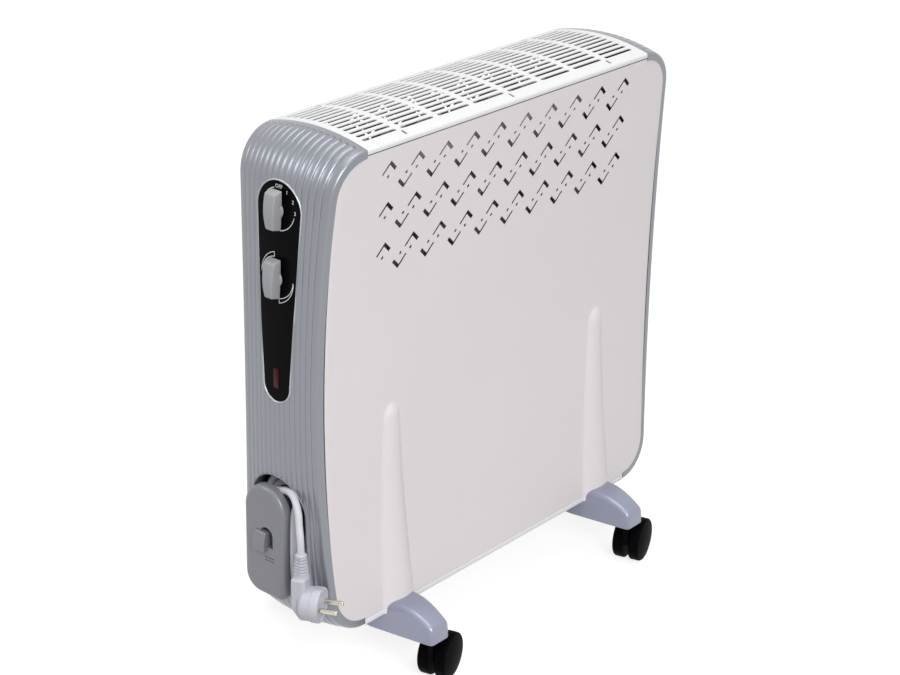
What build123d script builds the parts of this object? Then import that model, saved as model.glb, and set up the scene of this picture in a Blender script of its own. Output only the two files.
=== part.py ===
from build123d import *
import os
from math import asin, cos, pi, radians, sin, sqrt

# Casing
casing_height = 514.0
grille_length = 440.0
end_reach = 50.0
corner_radius = 44.0
casing_depth = 130.6
waist_depth = 14.5
crown = 9.0
cap_wall = 3.0
cap_flange = 34.0
panel_thickness = 1.4
pan_thickness = 1.5
panel_inset = 6.0
seam_gap = 0.4
seat_gap = 0.3

# Grille
grille_thickness = 2.5
slot_groups = 8
slots_across = 13
slot_pitch = 8.2
slot_width = 4.2
slot_group_rib = 7.0
grille_end_margin = 6.0
tongue_reach = 12.0
tongue_thickness = 2.0
fixing_slot_length = 6.0
fixing_slot_width = 2.2
fixing_slot_inset = 8.3
fixing_slot_groups = 3

# Panel vents
vent_columns = 10
vent_rows = 3
vent_pitch = 41.0
vent_row_pitch = 42.6
vent_top_drop = 19.0
vent_row_height = 34.0
vent_long_leg = 17.0
vent_short_leg = 12.5
vent_thin = 2.0
vent_thick = 4.0
vent_dash_length = 3.4
vent_dash_width = 2.0
vent_dash_drop = 16.0
vent_dash_shift = 3.0

# Panel ribs above the feet
rib_set_in = 52.0
rib_height = 229.5
rib_top_width = 20.0
rib_top_relief = 4.0
rib_foot_width = 46.0
rib_foot_relief = 10.0

# Feet
foot_root_width = 56.0
foot_tip_width = 28.0
foot_reach = 57.7
foot_beam = 19.5
foot_tip_height = 16.0
foot_slope = 13.2
foot_bolt_spacing = 76.0
foot_bolt_radius = 2.5
foot_bolt_head_radius = 5.0
foot_bolt_head_height = 3.5

# Casters
caster_inset = 10.0
caster_trail = 18.0
caster_turn = 16.0
wheel_radius = 25.0
wheel_top_gap = 2.0
wheel_width = 12.5
wheel_dome = 2.5
wheel_rim = 3.0
wheel_flat = 2.0
web_width = 6.0
wheel_side_gap = 0.5
axle_radius = 2.5
axle_length = 24.0
stem_radius = 4.0
stem_length = 13.0
collar_radius = 9.0
running_clearance = 0.05
moving_gap = 0.35

# Controls
fascia_top_radius = 29.0
fascia_bottom_radius = 17.5
fascia_top_drop = 61.5
fascia_length = 181.0
fascia_gap = 0.25
fascia_flange = 4.0
fascia_flange_thickness = 1.5
selector_drop = 60.5
knob_spacing = 69.0
knob_length = 42.5
knob_width = 11.5
knob_reach = 13.0
knob_hub_radius = 9.0
knob_hub_depth = 3.0
shaft_radius = 3.0
knob_bore_depth = 10.0
lens_rise = 7.5
lens_width = 7.0
lens_length = 21.0
lens_gap = 0.15
bracket_set_back = 17.5
bracket_thickness = 2.0
bracket_clearance = 0.6
bracket_below = 34.0
bracket_above = 29.0
bracket_edge = 5.5
bracket_hole_inset = 12.0
post_radius = 4.5
switch_size = 36.0
switch_depth = 26.0
thermostat_width = 34.0
thermostat_tall = 44.0
thermostat_depth = 30.0
bush_radius = 5.0
bush_reach = 8.0

# Cord bay and winder
bay_side_gap = 1.6
bay_arch_drop = 3.0
bay_rise = 34.5
bay_corner = 1.5
bay_set_back = 17.5
bay_wall = 2.0
winder_depth = 27.0
plate_half_width = 29.0
plate_shift = 5.5
plate_rise = 2.0
plate_height = 123.5
plate_corner = 20.0
plate_thickness = 11.0
plate_bevel = 4.0
pocket_width = 18.0
pocket_rise = 57.0
pocket_height = 22.0
pocket_depth = 7.0
hook_width = 15.0
hook_height = 20.0
hook_side = 4.0
hook_drop = 3.5
hook_reach = 4.5
winder_core_radius = 11.5

# Cord and plug
cord_diameter = 7.5
cord_gap = 0.5
turn_gap = 0.25
turn_straight = 65.0
layer_gap = 0.6
floor_gap = 1.75
core_gap = 1.25
climb_gap = 1.5
turns_on_a_layer = 2
gland_height = 22.0
gland_foot_wall = 1.65
gland_tip_wall = 0.85
gland_flange_wall = 2.25
crest_side = -2.0
crest_reach = 11.0
strand_gap = 18.85
plug_stand_off = 3.0
relief_rise = 70.7
relief_length = 25.5
relief_wall = 4.0
relief_tip_wall = 2.45
relief_ribs = 5
plug_height = 46.5
plug_axis_drop = 29.7
plug_turn = 24.0
plug_back_width = 19.0
plug_back_length = 16.4
plug_heel_rise = 12.5
plug_heel_length = 9.5
plug_rounding = 2.5
plug_face_radius = 18.5
plug_face_length = 20.4
plug_face_overlap = 6.0
pin_radius = 2.4
pin_length = 19.0
pin_spacing = 19.0
pin_rounding = 1.2
pin_root = 4.0
pin_root_radius = 1.8

# Oil filled core
fin_count = 6
core_margin = 80.0
fin_clearance = 6.4
fin_rise = 36.5
fin_drop = 27.5
fin_corner = 20.0
fin_sheet = 2.4
fin_boss_radius = 27.0
fin_boss_width = 20.0
channel_radius = 5.5
channel_spread = 26.0
header_inset = 42.0
collar_outer = 21.0
header_bore = 18.0
header_end = 3.0
element_radius = 4.0
element_spread = 18.0
element_far_gap = 48.0
element_tail = 12.0
flange_radius = 24.0
flange_thickness = 6.0
filler_radius = 6.0
filler_head = 9.0
filler_head_height = 6.0
stool_width = 36.0
stool_narrowing = 10.0
stool_sheet = 1.5
stool_foot = 8.0
shield_set_back = 34.0
shield_sheet = 1.0
shield_overlap = 1.0
shield_drop = 19.5
shield_foot = 14.0
shield_hole = 7.0
terminal_size = (16.0, 40.0, 22.0)
terminal_rise = 188.5
tip_switch_size = (16.0, 20.0, 32.0)
tip_switch_gap = 3.0
tip_switch_side = -22.0
cutout_radius = 8.0
cutout_height = 7.0
cutout_inset = 12.0
cutout_rise = 11.5
wire_radius = 1.4
lead_drop = 9.0
screw_radius = 1.6
screw_head_radius = 3.4
screw_head_height = 2.2
screw_length = 9.0

# Heights and depths of the casing worked out from the sizes above
caster_height = 2 * wheel_radius + wheel_top_gap
casing_bottom = caster_height + foot_beam
casing_top = casing_bottom + casing_height
middle = casing_bottom + casing_height / 2
half_seam = grille_length / 2
half_height = casing_height / 2
half_depth = casing_depth / 2
waist_radius = (half_height**2 + waist_depth**2) / (2 * waist_depth)
waist_centre = half_depth - waist_depth + waist_radius
crown_radius = (half_depth**2 + crown**2) / (2 * crown)
straight = half_height - corner_radius
end_radius = (end_reach**2 + straight**2 - corner_radius**2) / (2 * (end_reach - corner_radius))
end_centre = half_seam + end_reach - end_radius
tangent_x = (half_seam - end_centre) / (end_radius - corner_radius)
tangent_z = straight / (end_radius - corner_radius)
end_x = -half_seam - end_reach
skirt = panel_inset - seam_gap
span = half_seam + end_reach + crown + 60
rib_places = (rib_set_in - half_seam, half_seam - rib_set_in)
rib_top = casing_bottom + rib_height
foot_length = casing_depth + 2 * foot_reach
caster_spacing = foot_length - 2 * caster_inset

# Places of the controls
fascia_top_height = casing_top - fascia_top_drop
fascia_bottom_height = fascia_top_height - fascia_length
selector_height = casing_top - selector_drop
thermostat_height = selector_height - knob_spacing
lens_height = fascia_bottom_height + lens_rise
bracket_x = end_x + bracket_set_back
bracket_room = half_depth - waist_depth - panel_thickness - seat_gap - cap_wall
bracket_width = 2 * (bracket_room - bracket_clearance)
bracket_bottom = thermostat_height - bracket_below
bracket_top = selector_height + bracket_above
post_spread = bracket_width - 2 * bracket_edge
post_heights = (bracket_bottom + bracket_hole_inset, bracket_top - bracket_hole_inset)

# Places of the winder, the cord and the plug
cord_radius = cord_diameter / 2
turn_step = cord_diameter + cord_gap
layer_step = cord_diameter + layer_gap
innermost_run = winder_core_radius + cord_radius + core_gap
gland_run = innermost_run + turns_on_a_layer * turn_step + climb_gap
gland_foot_radius = cord_radius + gland_foot_wall
gland_tip_radius = cord_radius + gland_tip_wall
gland_flange_radius = cord_radius + gland_flange_wall
bay_half_width = gland_run + gland_foot_radius + bay_side_gap
bay_bottom = casing_bottom + bay_rise
bay_floor_x = end_x + bay_set_back
plate_back_x = bay_floor_x - winder_depth
plate_front_x = plate_back_x - plate_thickness
plate_bottom = bay_bottom + plate_rise
plate_top = plate_bottom + plate_height
pocket_bottom = plate_bottom + pocket_rise
pocket_top = pocket_bottom + pocket_height
turn_bottom = bay_bottom + gland_run - 0.75 * turn_step + cord_radius + turn_gap
turn_top = turn_bottom + turn_straight
bay_arch_height = turn_top - bay_arch_drop
back_layer_x = bay_floor_x - cord_radius - floor_gap
strand_side = plate_shift - plate_half_width - cord_radius - strand_gap
plug_place = (plate_front_x - plug_stand_off, strand_side)
relief_top = plate_bottom + relief_rise
relief_radius = cord_radius + relief_wall
relief_tip_radius = cord_radius + relief_tip_wall
frame_shift = (hook_reach - plate_front_x - half_seam - end_reach - crown) / 2

# Places of the oil filled core
fin_pitch = 2 * (half_seam - core_margin) / (fin_count - 1)
fin_depth = 2 * (half_depth - waist_depth - panel_thickness - fin_clearance)
fin_bottom = casing_bottom + fin_rise
fin_top = casing_top - fin_drop
header_lower = fin_bottom + header_inset
header_upper = fin_top - header_inset
stool_depth = fin_depth - stool_narrowing
shield_x = shield_set_back - half_seam
shield_depth = fin_depth + 2 * shield_overlap
shield_top = casing_top - shield_drop
terminal_height = casing_bottom + terminal_rise
nodes = {}


def block(x0, x1, y0, y1, z0, z1):
    size = Box(abs(x1 - x0), abs(y1 - y0), abs(z1 - z0))
    return Pos((x0 + x1) / 2, (y0 + y1) / 2, (z0 + z1) / 2) * size


def rod_x(radius, x0, x1, y, z):
    return Pos((x0 + x1) / 2, y, z) * Rot(0, 90, 0) * Cylinder(radius, abs(x1 - x0))


def rod_z(radius, x, y, z0, z1):
    return Pos(x, y, (z0 + z1) / 2) * Cylinder(radius, z1 - z0)


def depth_at(height):
    return waist_centre - sqrt(waist_radius**2 - (height - middle) ** 2)


def end_face_x(height):
    return -(end_centre + sqrt((end_radius + crown) ** 2 - (height - middle) ** 2))


def tube(points, radii, radius):
    route = FilletPolyline(*points, radius=radii)
    start = Plane(origin=route @ 0, z_dir=route % 0)
    return sweep(start * Circle(radius), path=route)


# Casing outline seen from the front, with every edge drawn in by the inset
def casing_outline(inset):
    corner = corner_radius - inset
    reach = end_centre + end_radius - inset
    side_x = half_seam + corner * tangent_x
    side_z = straight + corner * tangent_z
    bend = radians(45)
    bend_x = half_seam + corner * cos(bend)
    bend_z = straight + corner * sin(bend)
    edge = half_height - inset
    lines = [Line((-half_seam, middle + edge), (half_seam, middle + edge))]
    lines += [Line((-half_seam, middle - edge), (half_seam, middle - edge))]
    for side in (-1, 1):
        high = (side * side_x, middle + side_z)
        low = (side * side_x, middle - side_z)
        lines += [ThreePointArc(high, (side * reach, middle), low)]
        for way in (-1, 1):
            top = (side * half_seam, middle + way * edge)
            bend_point = (side * bend_x, middle + way * bend_z)
            lines += [ThreePointArc(top, bend_point, high if way > 0 else low)]
    return Plane.XZ * make_face(Curve() + lines)


def outline_block(inset):
    return extrude(casing_outline(inset), amount=casing_depth, both=True)


# Space between the two bowed faces, drawn in by the inset
def waisted_slab(inset):
    tall = half_height + 60
    slab = block(-span, span, -casing_depth, casing_depth, middle - tall, middle + tall)
    for side in (-1, 1):
        slab -= rod_x(waist_radius + inset, -span, span, side * waist_centre, middle)
    return slab


# Crowned band that follows the end of the casing from the top seam to the bottom seam
def end_band(outer_offset, inner_offset):
    half = half_depth + 2
    outer = crown_radius - outer_offset
    inner = crown_radius - inner_offset
    centre = casing_top + crown - crown_radius
    outer_side = centre + sqrt(outer**2 - half**2)
    inner_side = centre + sqrt(inner**2 - half**2)
    lines = ThreePointArc((-half, outer_side), (0, centre + outer), (half, outer_side))
    lines += ThreePointArc((-half, inner_side), (0, centre + inner), (half, inner_side))
    lines += Line((-half, outer_side), (-half, inner_side))
    lines += Line((half, outer_side), (half, inner_side))
    section = Plane.YZ.offset(-half_seam) * make_face(lines)
    side_x = half_seam + corner_radius * tangent_x
    side_z = straight + corner_radius * tangent_z
    bend = corner_radius * cos(radians(45))
    high = Vector(-side_x, 0, middle + side_z)
    low = Vector(-side_x, 0, middle - side_z)
    reach = Vector(-half_seam - end_reach, 0, middle)
    top = Vector(-half_seam, 0, casing_top)
    bottom = Vector(-half_seam, 0, casing_bottom)
    top_bend = Vector(-half_seam - bend, 0, middle + straight + bend)
    bottom_bend = Vector(-half_seam - bend, 0, middle - straight - bend)
    path = [ThreePointArc(top, top_bend, high), ThreePointArc(high, reach, low)]
    path += [ThreePointArc(low, bottom_bend, bottom)]
    return sweep(section, path=Wire([curve.edge() for curve in path]))


# Tapered rib over a foot, as a leaning cone with a rounded top
def rib_cone(place, side, growth):
    top_face = depth_at(rib_top) + rib_top_relief
    foot_face = depth_at(casing_bottom) + rib_foot_relief
    top_radius = (rib_top_width**2 / 4 + rib_top_relief**2) / (2 * rib_top_relief)
    foot_radius = (rib_foot_width**2 / 4 + rib_foot_relief**2) / (2 * rib_foot_relief)
    foot_place = Pos(place, side * (foot_face - foot_radius), casing_bottom)
    top_place = Pos(place, side * (top_face - top_radius), rib_top - top_radius / 2)
    cone = loft([foot_place * Circle(foot_radius + growth), top_place * Circle(top_radius + growth)])
    return cone + top_place * Sphere(top_radius + growth)


# Vents seen from the front: bent slots in rows, every second one turned half round
def vent_holes():
    lean = sqrt(0.5)
    apex = (0.0, 0.0)
    right_foot = (vent_short_leg * lean, -vent_short_leg * lean)
    right_inner = (right_foot[0] - vent_thick * lean, right_foot[1] - vent_thick * lean)
    inner = ((vent_thin - vent_thick) * lean, -(vent_thin + vent_thick) * lean)
    left_inner = ((vent_thin - vent_long_leg) * lean, -(vent_thin + vent_long_leg) * lean)
    left_foot = (-vent_long_leg * lean, -vent_long_leg * lean)
    bent = make_face(Polyline(apex, right_foot, right_inner, inner, left_inner, left_foot, close=True))
    dash = Pos(-vent_dash_shift, -vent_dash_drop) * Rot(0, 0, 45)
    pattern = bent + dash * Rectangle(vent_dash_length, vent_dash_width)
    first = casing_top - vent_top_drop
    holes = []
    for row in range(vent_rows):
        height = first - row * vent_row_pitch
        for column in range(2 * vent_columns - 1):
            across = (column - vent_columns + 1) * vent_pitch / 2
            if column % 2 == 0:
                place = Pos(across, height)
            else:
                place = Pos(across, height - vent_row_height) * Rot(0, 0, 180)
            holes.append(place * pattern)
    drawing = Sketch() + holes
    return extrude(Plane.XZ * drawing, amount=casing_depth)


# Front and rear panels
def panel(side):
    far_side = block(-span, span, 0, side * casing_depth, 0, casing_top + 60)
    ring = rod_x(waist_radius + panel_thickness, -span, span, side * waist_centre, middle)
    ring -= rod_x(waist_radius, -span, span, side * waist_centre, middle)
    sheet = ring & outline_block(panel_inset) & far_side
    outside = rod_x(waist_radius + panel_thickness, -span, span, side * waist_centre, middle)
    keep = outside & outline_block(panel_inset) & far_side
    ribs = [rib_cone(place, side, 0) & keep for place in rib_places]
    hollows = [rib_cone(place, side, -panel_thickness) for place in rib_places]
    return (sheet + ribs - hollows).solids().sort_by(SortBy.VOLUME)[-1]


vents = vent_holes()
nodes["front_panel"] = panel(-1) - vents
nodes["rear_panel"] = panel(1) - vents.rotate(Axis.Z, 180)


# Top grille
def top_grille():
    centre = casing_top + crown - crown_radius
    inner_radius = crown_radius - grille_thickness
    inner_half = half_depth - grille_thickness
    low = casing_top - skirt
    inner_side = centre + sqrt(inner_radius**2 - inner_half**2)
    lines = ThreePointArc((-half_depth, casing_top), (0, casing_top + crown), (half_depth, casing_top))
    lines += ThreePointArc((-inner_half, inner_side), (0, centre + inner_radius), (inner_half, inner_side))
    for side in (-1, 1):
        lines += Line((side * half_depth, casing_top), (side * half_depth, low))
        lines += Line((side * half_depth, low), (side * inner_half, low))
        lines += Line((side * inner_half, low), (side * inner_half, inner_side))
    length = half_seam - seam_gap
    shell = extrude(Plane.YZ * make_face(lines), amount=length, both=True) & waisted_slab(0)
    group_pitch = (grille_length - 2 * grille_end_margin) / slot_groups
    slot_length = group_pitch - slot_group_rib
    cuts = Sketch()
    slots = []
    for group in range(slot_groups):
        along = (group - (slot_groups - 1) / 2) * group_pitch
        for slot in range(slots_across):
            across = (slot - (slots_across - 1) / 2) * slot_pitch
            slots.append(Pos(along, across) * SlotOverall(slot_length, slot_width))
    fixing_slot = Rectangle(fixing_slot_width, fixing_slot_length)
    for groups in (-fixing_slot_groups, 0, fixing_slot_groups):
        for side in (-1, 1):
            across = side * (half_depth - fixing_slot_inset)
            slots.append(Pos(groups * group_pitch, across) * fixing_slot)
    cuts += slots
    return shell - extrude(Pos(0, 0, casing_top - skirt) * cuts, amount=skirt + 2 * crown)


nodes["top_grille"] = top_grille()


# End cap: a crowned shell with flanges behind the panels and a tongue under the grille
def end_cap():
    above = block(-span, span, -casing_depth, casing_depth, casing_bottom, casing_top + 60)
    room = block(-span, span, -casing_depth, casing_depth, casing_bottom + cap_wall, casing_top + 60)
    cap = end_band(0, cap_flange) & waisted_slab(0) & above
    flange_inset = panel_thickness + seat_gap + cap_wall
    cap -= end_band(cap_wall, cap_flange + 6) & waisted_slab(flange_inset) & room
    seat = outline_block(panel_inset - seam_gap) - waisted_slab(panel_thickness + seat_gap)
    cap -= seat
    centre = casing_top + crown - crown_radius
    under = crown_radius - grille_thickness - seat_gap
    tongue = rod_x(under, -half_seam - tongue_reach / 2, -half_seam + tongue_reach, 0, centre)
    tongue -= rod_x(under - tongue_thickness, -span, span, 0, centre)
    half = depth_at(casing_top) - panel_thickness - 2 * cap_wall - 8
    tongue &= block(-span, span, -half, half, middle, casing_top + 60)
    low = casing_bottom + pan_thickness + seat_gap
    reach = (-half_seam - tongue_reach, -half_seam + tongue_reach)
    foot = block(*reach, -half, half, low, low + tongue_thickness)
    return cap + tongue + foot


# Outlines on the end face, drawn in the Y-Z plane
def fascia_outline(growth):
    fall = (fascia_top_radius - fascia_bottom_radius) / (fascia_top_height - fascia_bottom_height)
    out = sqrt(1 - fall**2)
    top = fascia_top_radius + growth
    low = fascia_bottom_radius + growth
    top_z = fascia_top_height + top * fall
    low_z = fascia_bottom_height + low * fall
    lines = ThreePointArc((-top * out, top_z), (0, fascia_top_height + top), (top * out, top_z))
    lines += ThreePointArc((-low * out, low_z), (0, fascia_bottom_height - low), (low * out, low_z))
    lines += Line((-top * out, top_z), (-low * out, low_z))
    lines += Line((top * out, top_z), (low * out, low_z))
    return make_face(lines)


def bay_outline(growth):
    half = bay_half_width + growth
    low = bay_bottom - growth
    tall = bay_arch_height - low
    face = Pos(0, bay_arch_height) * Circle(half) + Pos(0, low + tall / 2) * Rectangle(2 * half, tall)
    corners = face.vertices().group_by(Axis.Y)[0]
    return fillet(corners, bay_corner + growth)


def along_x(face, x0, x1):
    return extrude(Plane.YZ.offset(x0) * face, amount=x1 - x0)


def control_cap():
    cap = end_cap()
    solid_end = end_band(0, cap_flange) & waisted_slab(panel_thickness + seat_gap)
    posts = []
    for height in post_heights:
        for side in (-1, 1):
            post = rod_x(post_radius, -span, bracket_x - bracket_thickness, side * post_spread / 2, height)
            posts.append(post & solid_end)
    bay_walls = along_x(bay_outline(bay_wall), -span, bay_floor_x + bay_wall) & solid_end
    cap = cap + posts + bay_walls
    cap -= along_x(bay_outline(0), -span, bay_floor_x)
    cap -= along_x(fascia_outline(0), -span, bracket_x - bracket_thickness)
    gland_bore = gland_tip_radius + running_clearance
    cap -= rod_z(gland_bore, back_layer_x, gland_run, bay_bottom - 12, bay_bottom + 1)
    pilot = screw_radius
    for height in post_heights:
        for side in (-1, 1):
            end = bracket_x - bracket_thickness
            cap -= rod_x(pilot, end - screw_length, end, side * post_spread / 2, height)
    for height in (turn_top, turn_bottom):
        cap -= rod_x(pilot + running_clearance, bay_floor_x - 1, bay_floor_x + bay_wall + 1, 0, height)
    return cap


nodes["control_end_cap"] = control_cap()
nodes["far_end_cap"] = mirror(end_cap(), about=Plane.YZ)


# Base pan with the rail that shows under each panel
def base_pan():
    length = half_seam - seam_gap
    rail = block(-length, length, -casing_depth, casing_depth, casing_bottom, casing_bottom + skirt)
    room = block(-span, span, -casing_depth, casing_depth, casing_bottom + pan_thickness, casing_top)
    outside = waisted_slab(0)
    inside = waisted_slab(pan_thickness)
    for side in (-1, 1):
        for place in rib_places:
            outside += rib_cone(place, side, 0)
            inside += rib_cone(place, side, -pan_thickness)
    pan = outside & rail
    pan -= inside & room
    for place in rib_places:
        for side in (-1, 1):
            hole = side * foot_bolt_spacing / 2
            bore = foot_bolt_radius + running_clearance
            pan -= rod_z(bore, place, hole, casing_bottom - 1, casing_bottom + 4)
    return pan


nodes["base_pan"] = base_pan()


# Feet: one moulding across the casing, with a rounded arm to each side
def arm_section(distance, width, height, rounding):
    face = Pos(0, caster_height + height / 2) * Rectangle(width, height)
    face = fillet(face.vertices().group_by(Axis.Y)[-1], rounding)
    return Plane(origin=(0, distance, 0), x_dir=(1, 0, 0), z_dir=(0, -1, 0)) * face


def foot(place):
    root = depth_at(casing_bottom) - 15
    tip = foot_length / 2
    slope = foot_slope / (tip - half_depth)
    root_height = foot_tip_height + slope * (tip - root)
    keep_out = waisted_slab(-seam_gap)
    for side in (-1, 1):
        keep_out += rib_cone(place, side, seam_gap)
    keep_out &= block(-span, span, -casing_depth, casing_depth, casing_bottom, casing_top)
    beam = casing_bottom - caster_height
    shape = Pos(0, 0, caster_height + beam / 2) * Box(foot_root_width, 2 * root, beam)
    for side in (-1, 1):
        sections = [
            arm_section(side * root, foot_root_width, root_height, 0.42 * root_height),
            arm_section(side * tip, foot_tip_width, foot_tip_height, 0.42 * foot_tip_height),
        ]
        shape += loft(sections)
    shape = Pos(place, 0, 0) * shape - keep_out
    for side in (-1, 1):
        stem = side * caster_spacing / 2
        bore = stem_radius + running_clearance
        shape -= rod_z(bore, place, stem, caster_height - 1, caster_height + stem_length + 1)
        bolt = side * foot_bolt_spacing / 2
        bore = foot_bolt_radius + running_clearance
        shape -= rod_z(bore, place, bolt, caster_height - 1, casing_bottom + 1)
        head = caster_height + foot_bolt_head_height
        shape -= rod_z(foot_bolt_head_radius + moving_gap, place, bolt, caster_height - 1, head)
    return shape


foot_bolts = []
for name, place in zip(("left_foot", "right_foot"), rib_places):
    nodes[name] = foot(place)
    for side in (-1, 1):
        bolt = side * foot_bolt_spacing / 2
        under = caster_height + foot_bolt_head_height
        head = rod_z(foot_bolt_head_radius, place, bolt, caster_height + 0.5, under)
        shank = rod_z(foot_bolt_radius, place, bolt, under, casing_bottom + pan_thickness)
        nut_top = casing_bottom + pan_thickness + 4
        nut = rod_z(foot_bolt_radius + 2, place, bolt, casing_bottom + pan_thickness, nut_top)
        foot_bolts.append(head + shank + nut)
nodes["foot_bolts"] = Compound(foot_bolts)


# Casters, each with a swivelling frame, an axle and two wheels
def caster(corner, x, y, turn):
    place = Pos(x, y, 0) * Rot(0, 0, turn)
    half_web = web_width / 2
    top = caster_height - moving_gap
    web_low = wheel_radius - axle_radius - 4
    plate = Pos(caster_trail, wheel_radius) * Circle(axle_radius + 5)
    plate += make_face(
        Polyline(
            (-collar_radius + 2, top),
            (-collar_radius + 3, web_low + 8),
            (caster_trail, web_low - 0.5),
            (caster_trail + 7, wheel_radius),
            (caster_trail - 2, top),
            close=True,
        )
    )
    web = extrude(Plane.XZ * plate, amount=half_web, both=True)
    collar = rod_z(collar_radius, 0, 0, top - 1.3, top)
    stem = rod_z(stem_radius, 0, 0, top - 1, top + stem_length)
    hub = Pos(caster_trail, 0, wheel_radius) * Rot(90, 0, 0)
    frame = web + collar + stem - hub * Cylinder(axle_radius, 2 * web_width)
    nodes[corner + "_caster_frame"] = place * frame
    nodes[corner + "_caster_axle"] = place * hub * Cylinder(axle_radius, axle_length)
    inner = half_web + wheel_side_gap
    edge = inner + wheel_width
    tip = edge + wheel_dome
    shoulder = wheel_radius - wheel_rim
    dome_radius = ((shoulder - wheel_flat) ** 2 + wheel_dome**2) / (2 * wheel_dome)
    dome_turn = asin((shoulder - wheel_flat) / dome_radius) / 2
    dome_x = tip - dome_radius + dome_radius * cos(dome_turn)
    dome_middle = (dome_x, wheel_flat + dome_radius * sin(dome_turn))
    bore = axle_radius + running_clearance
    bore_end = axle_length / 2 + moving_gap
    rim_middle = (edge - wheel_rim + wheel_rim * sin(pi / 4), shoulder + wheel_rim * cos(pi / 4))
    rim_start = (edge - wheel_rim, wheel_radius)
    profile = Polyline((bore_end, 0), (bore_end, bore), (inner, bore), (inner, wheel_radius - 1))
    profile += Polyline((inner, wheel_radius - 1), (inner + 1, wheel_radius), rim_start)
    profile += ThreePointArc(rim_start, rim_middle, (edge, shoulder))
    profile += ThreePointArc((edge, shoulder), dome_middle, (tip, wheel_flat))
    profile += Polyline((tip, wheel_flat), (tip, 0), (bore_end, 0))
    wheel = revolve(make_face(profile), axis=Axis.X)
    for word, way in (("outer", 1), ("inner", -1)):
        outwards = way if y > 0 else -way
        turned = Pos(caster_trail, 0, wheel_radius) * Rot(0, 0, 90 * outwards)
        nodes[corner + "_" + word + "_wheel"] = place * turned * wheel


for word, x in zip(("left", "right"), rib_places):
    caster("front_" + word, x, -caster_spacing / 2, caster_turn)
    caster("rear_" + word, x, caster_spacing / 2, -caster_turn)


# Control fascia, lens and lamp
def control_fascia():
    back = cap_wall + seat_gap
    rear = back + fascia_flange_thickness
    plate = end_band(0, back) & along_x(fascia_outline(-fascia_gap), -span, -half_seam)
    flange = end_band(back, rear) & along_x(fascia_outline(fascia_flange), -span, -half_seam)
    fascia = plate + flange
    for height in (selector_height, thermostat_height):
        fascia -= rod_x(shaft_radius + 1, -span, -half_seam, 0, height)
    opening = RectangleRounded(lens_width + 2 * lens_gap, lens_length + 2 * lens_gap, 1.5)
    opening = Pos(0, lens_height) * opening
    return fascia - along_x(opening, -span, -half_seam)


nodes["control_fascia"] = control_fascia()
lens_front = end_face_x(lens_height) - 0.4
lens_back = end_face_x(lens_height) + cap_wall + seat_gap + fascia_flange_thickness + 0.2
lens_face = Pos(0, lens_height) * RectangleRounded(lens_width, lens_length, 1.4)
lens_flange = Pos(0, lens_height) * RectangleRounded(lens_width + 4, lens_length + 4, 1.4)
lens = along_x(lens_face, lens_front, lens_back)
nodes["indicator_lens"] = lens + along_x(lens_flange, lens_back, lens_back + 1.5)
nodes["indicator_lamp"] = rod_x(3.0, lens_back + 1.5, lens_back + 17, 0, lens_height)

# Control bracket with the switch and the thermostat
bracket = Box(bracket_thickness, bracket_width, bracket_top - bracket_bottom)
bracket = Pos(bracket_x - bracket_thickness / 2, 0, (bracket_top + bracket_bottom) / 2) * bracket
for height in (selector_height, thermostat_height):
    bracket -= rod_x(bush_radius + running_clearance, -span, 0, 0, height)
bracket_screws = []
for height in post_heights:
    for side in (-1, 1):
        across = side * post_spread / 2
        bracket -= rod_x(screw_radius + running_clearance, -span, 0, across, height)
        shank_end = bracket_x - bracket_thickness - screw_length + 1
        shank = rod_x(screw_radius, shank_end, bracket_x, across, height)
        head = rod_x(screw_head_radius, bracket_x, bracket_x + screw_head_height, across, height)
        bracket_screws.append(shank + head)
nodes["control_bracket"] = bracket
nodes["bracket_screws"] = Compound(bracket_screws)


def switch_body(height, width, tall, depth):
    body = block(bracket_x, bracket_x + depth, -width / 2, width / 2, height - tall / 2, height + tall / 2)
    body = fillet(body.edges().filter_by(Axis.X), 3)
    body += rod_x(bush_radius, bracket_x - bush_reach, bracket_x, 0, height)
    return body - rod_x(shaft_radius + running_clearance, -span, bracket_x + depth / 2, 0, height)


nodes["selector_switch"] = switch_body(selector_height, switch_size, switch_size, switch_depth)
nodes["thermostat"] = switch_body(thermostat_height, thermostat_width, thermostat_tall, thermostat_depth)


# Bar knob with a round hub, and the shaft that it is pressed on
def knob_and_shaft(height, depth):
    back = end_face_x(height - knob_length / 2) - 0.6
    hub = rod_x(knob_hub_radius, back - knob_hub_depth, back, 0, height)
    bar_back = Plane.YZ.offset(back) * Pos(0, height) * RectangleRounded(knob_width, knob_length, 2.5)
    front_face = RectangleRounded(knob_width - 2.5, knob_length - 4, 2)
    bar_front = Plane.YZ.offset(back - knob_reach) * Pos(0, height) * front_face
    bar = loft([bar_back, bar_front])
    front_edges = bar.faces().sort_by(Axis.X)[0].edges()
    knob = fillet(front_edges, 1.2) + hub
    bore_end = back - knob_bore_depth
    knob -= rod_x(shaft_radius, bore_end, 0, 0, height)
    shaft = rod_x(shaft_radius, bore_end, bracket_x + depth / 2 - 0.5, 0, height)
    return knob, shaft


nodes["selector_knob"], nodes["selector_shaft"] = knob_and_shaft(selector_height, switch_depth)
nodes["thermostat_knob"], nodes["thermostat_shaft"] = knob_and_shaft(thermostat_height, thermostat_depth)


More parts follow.
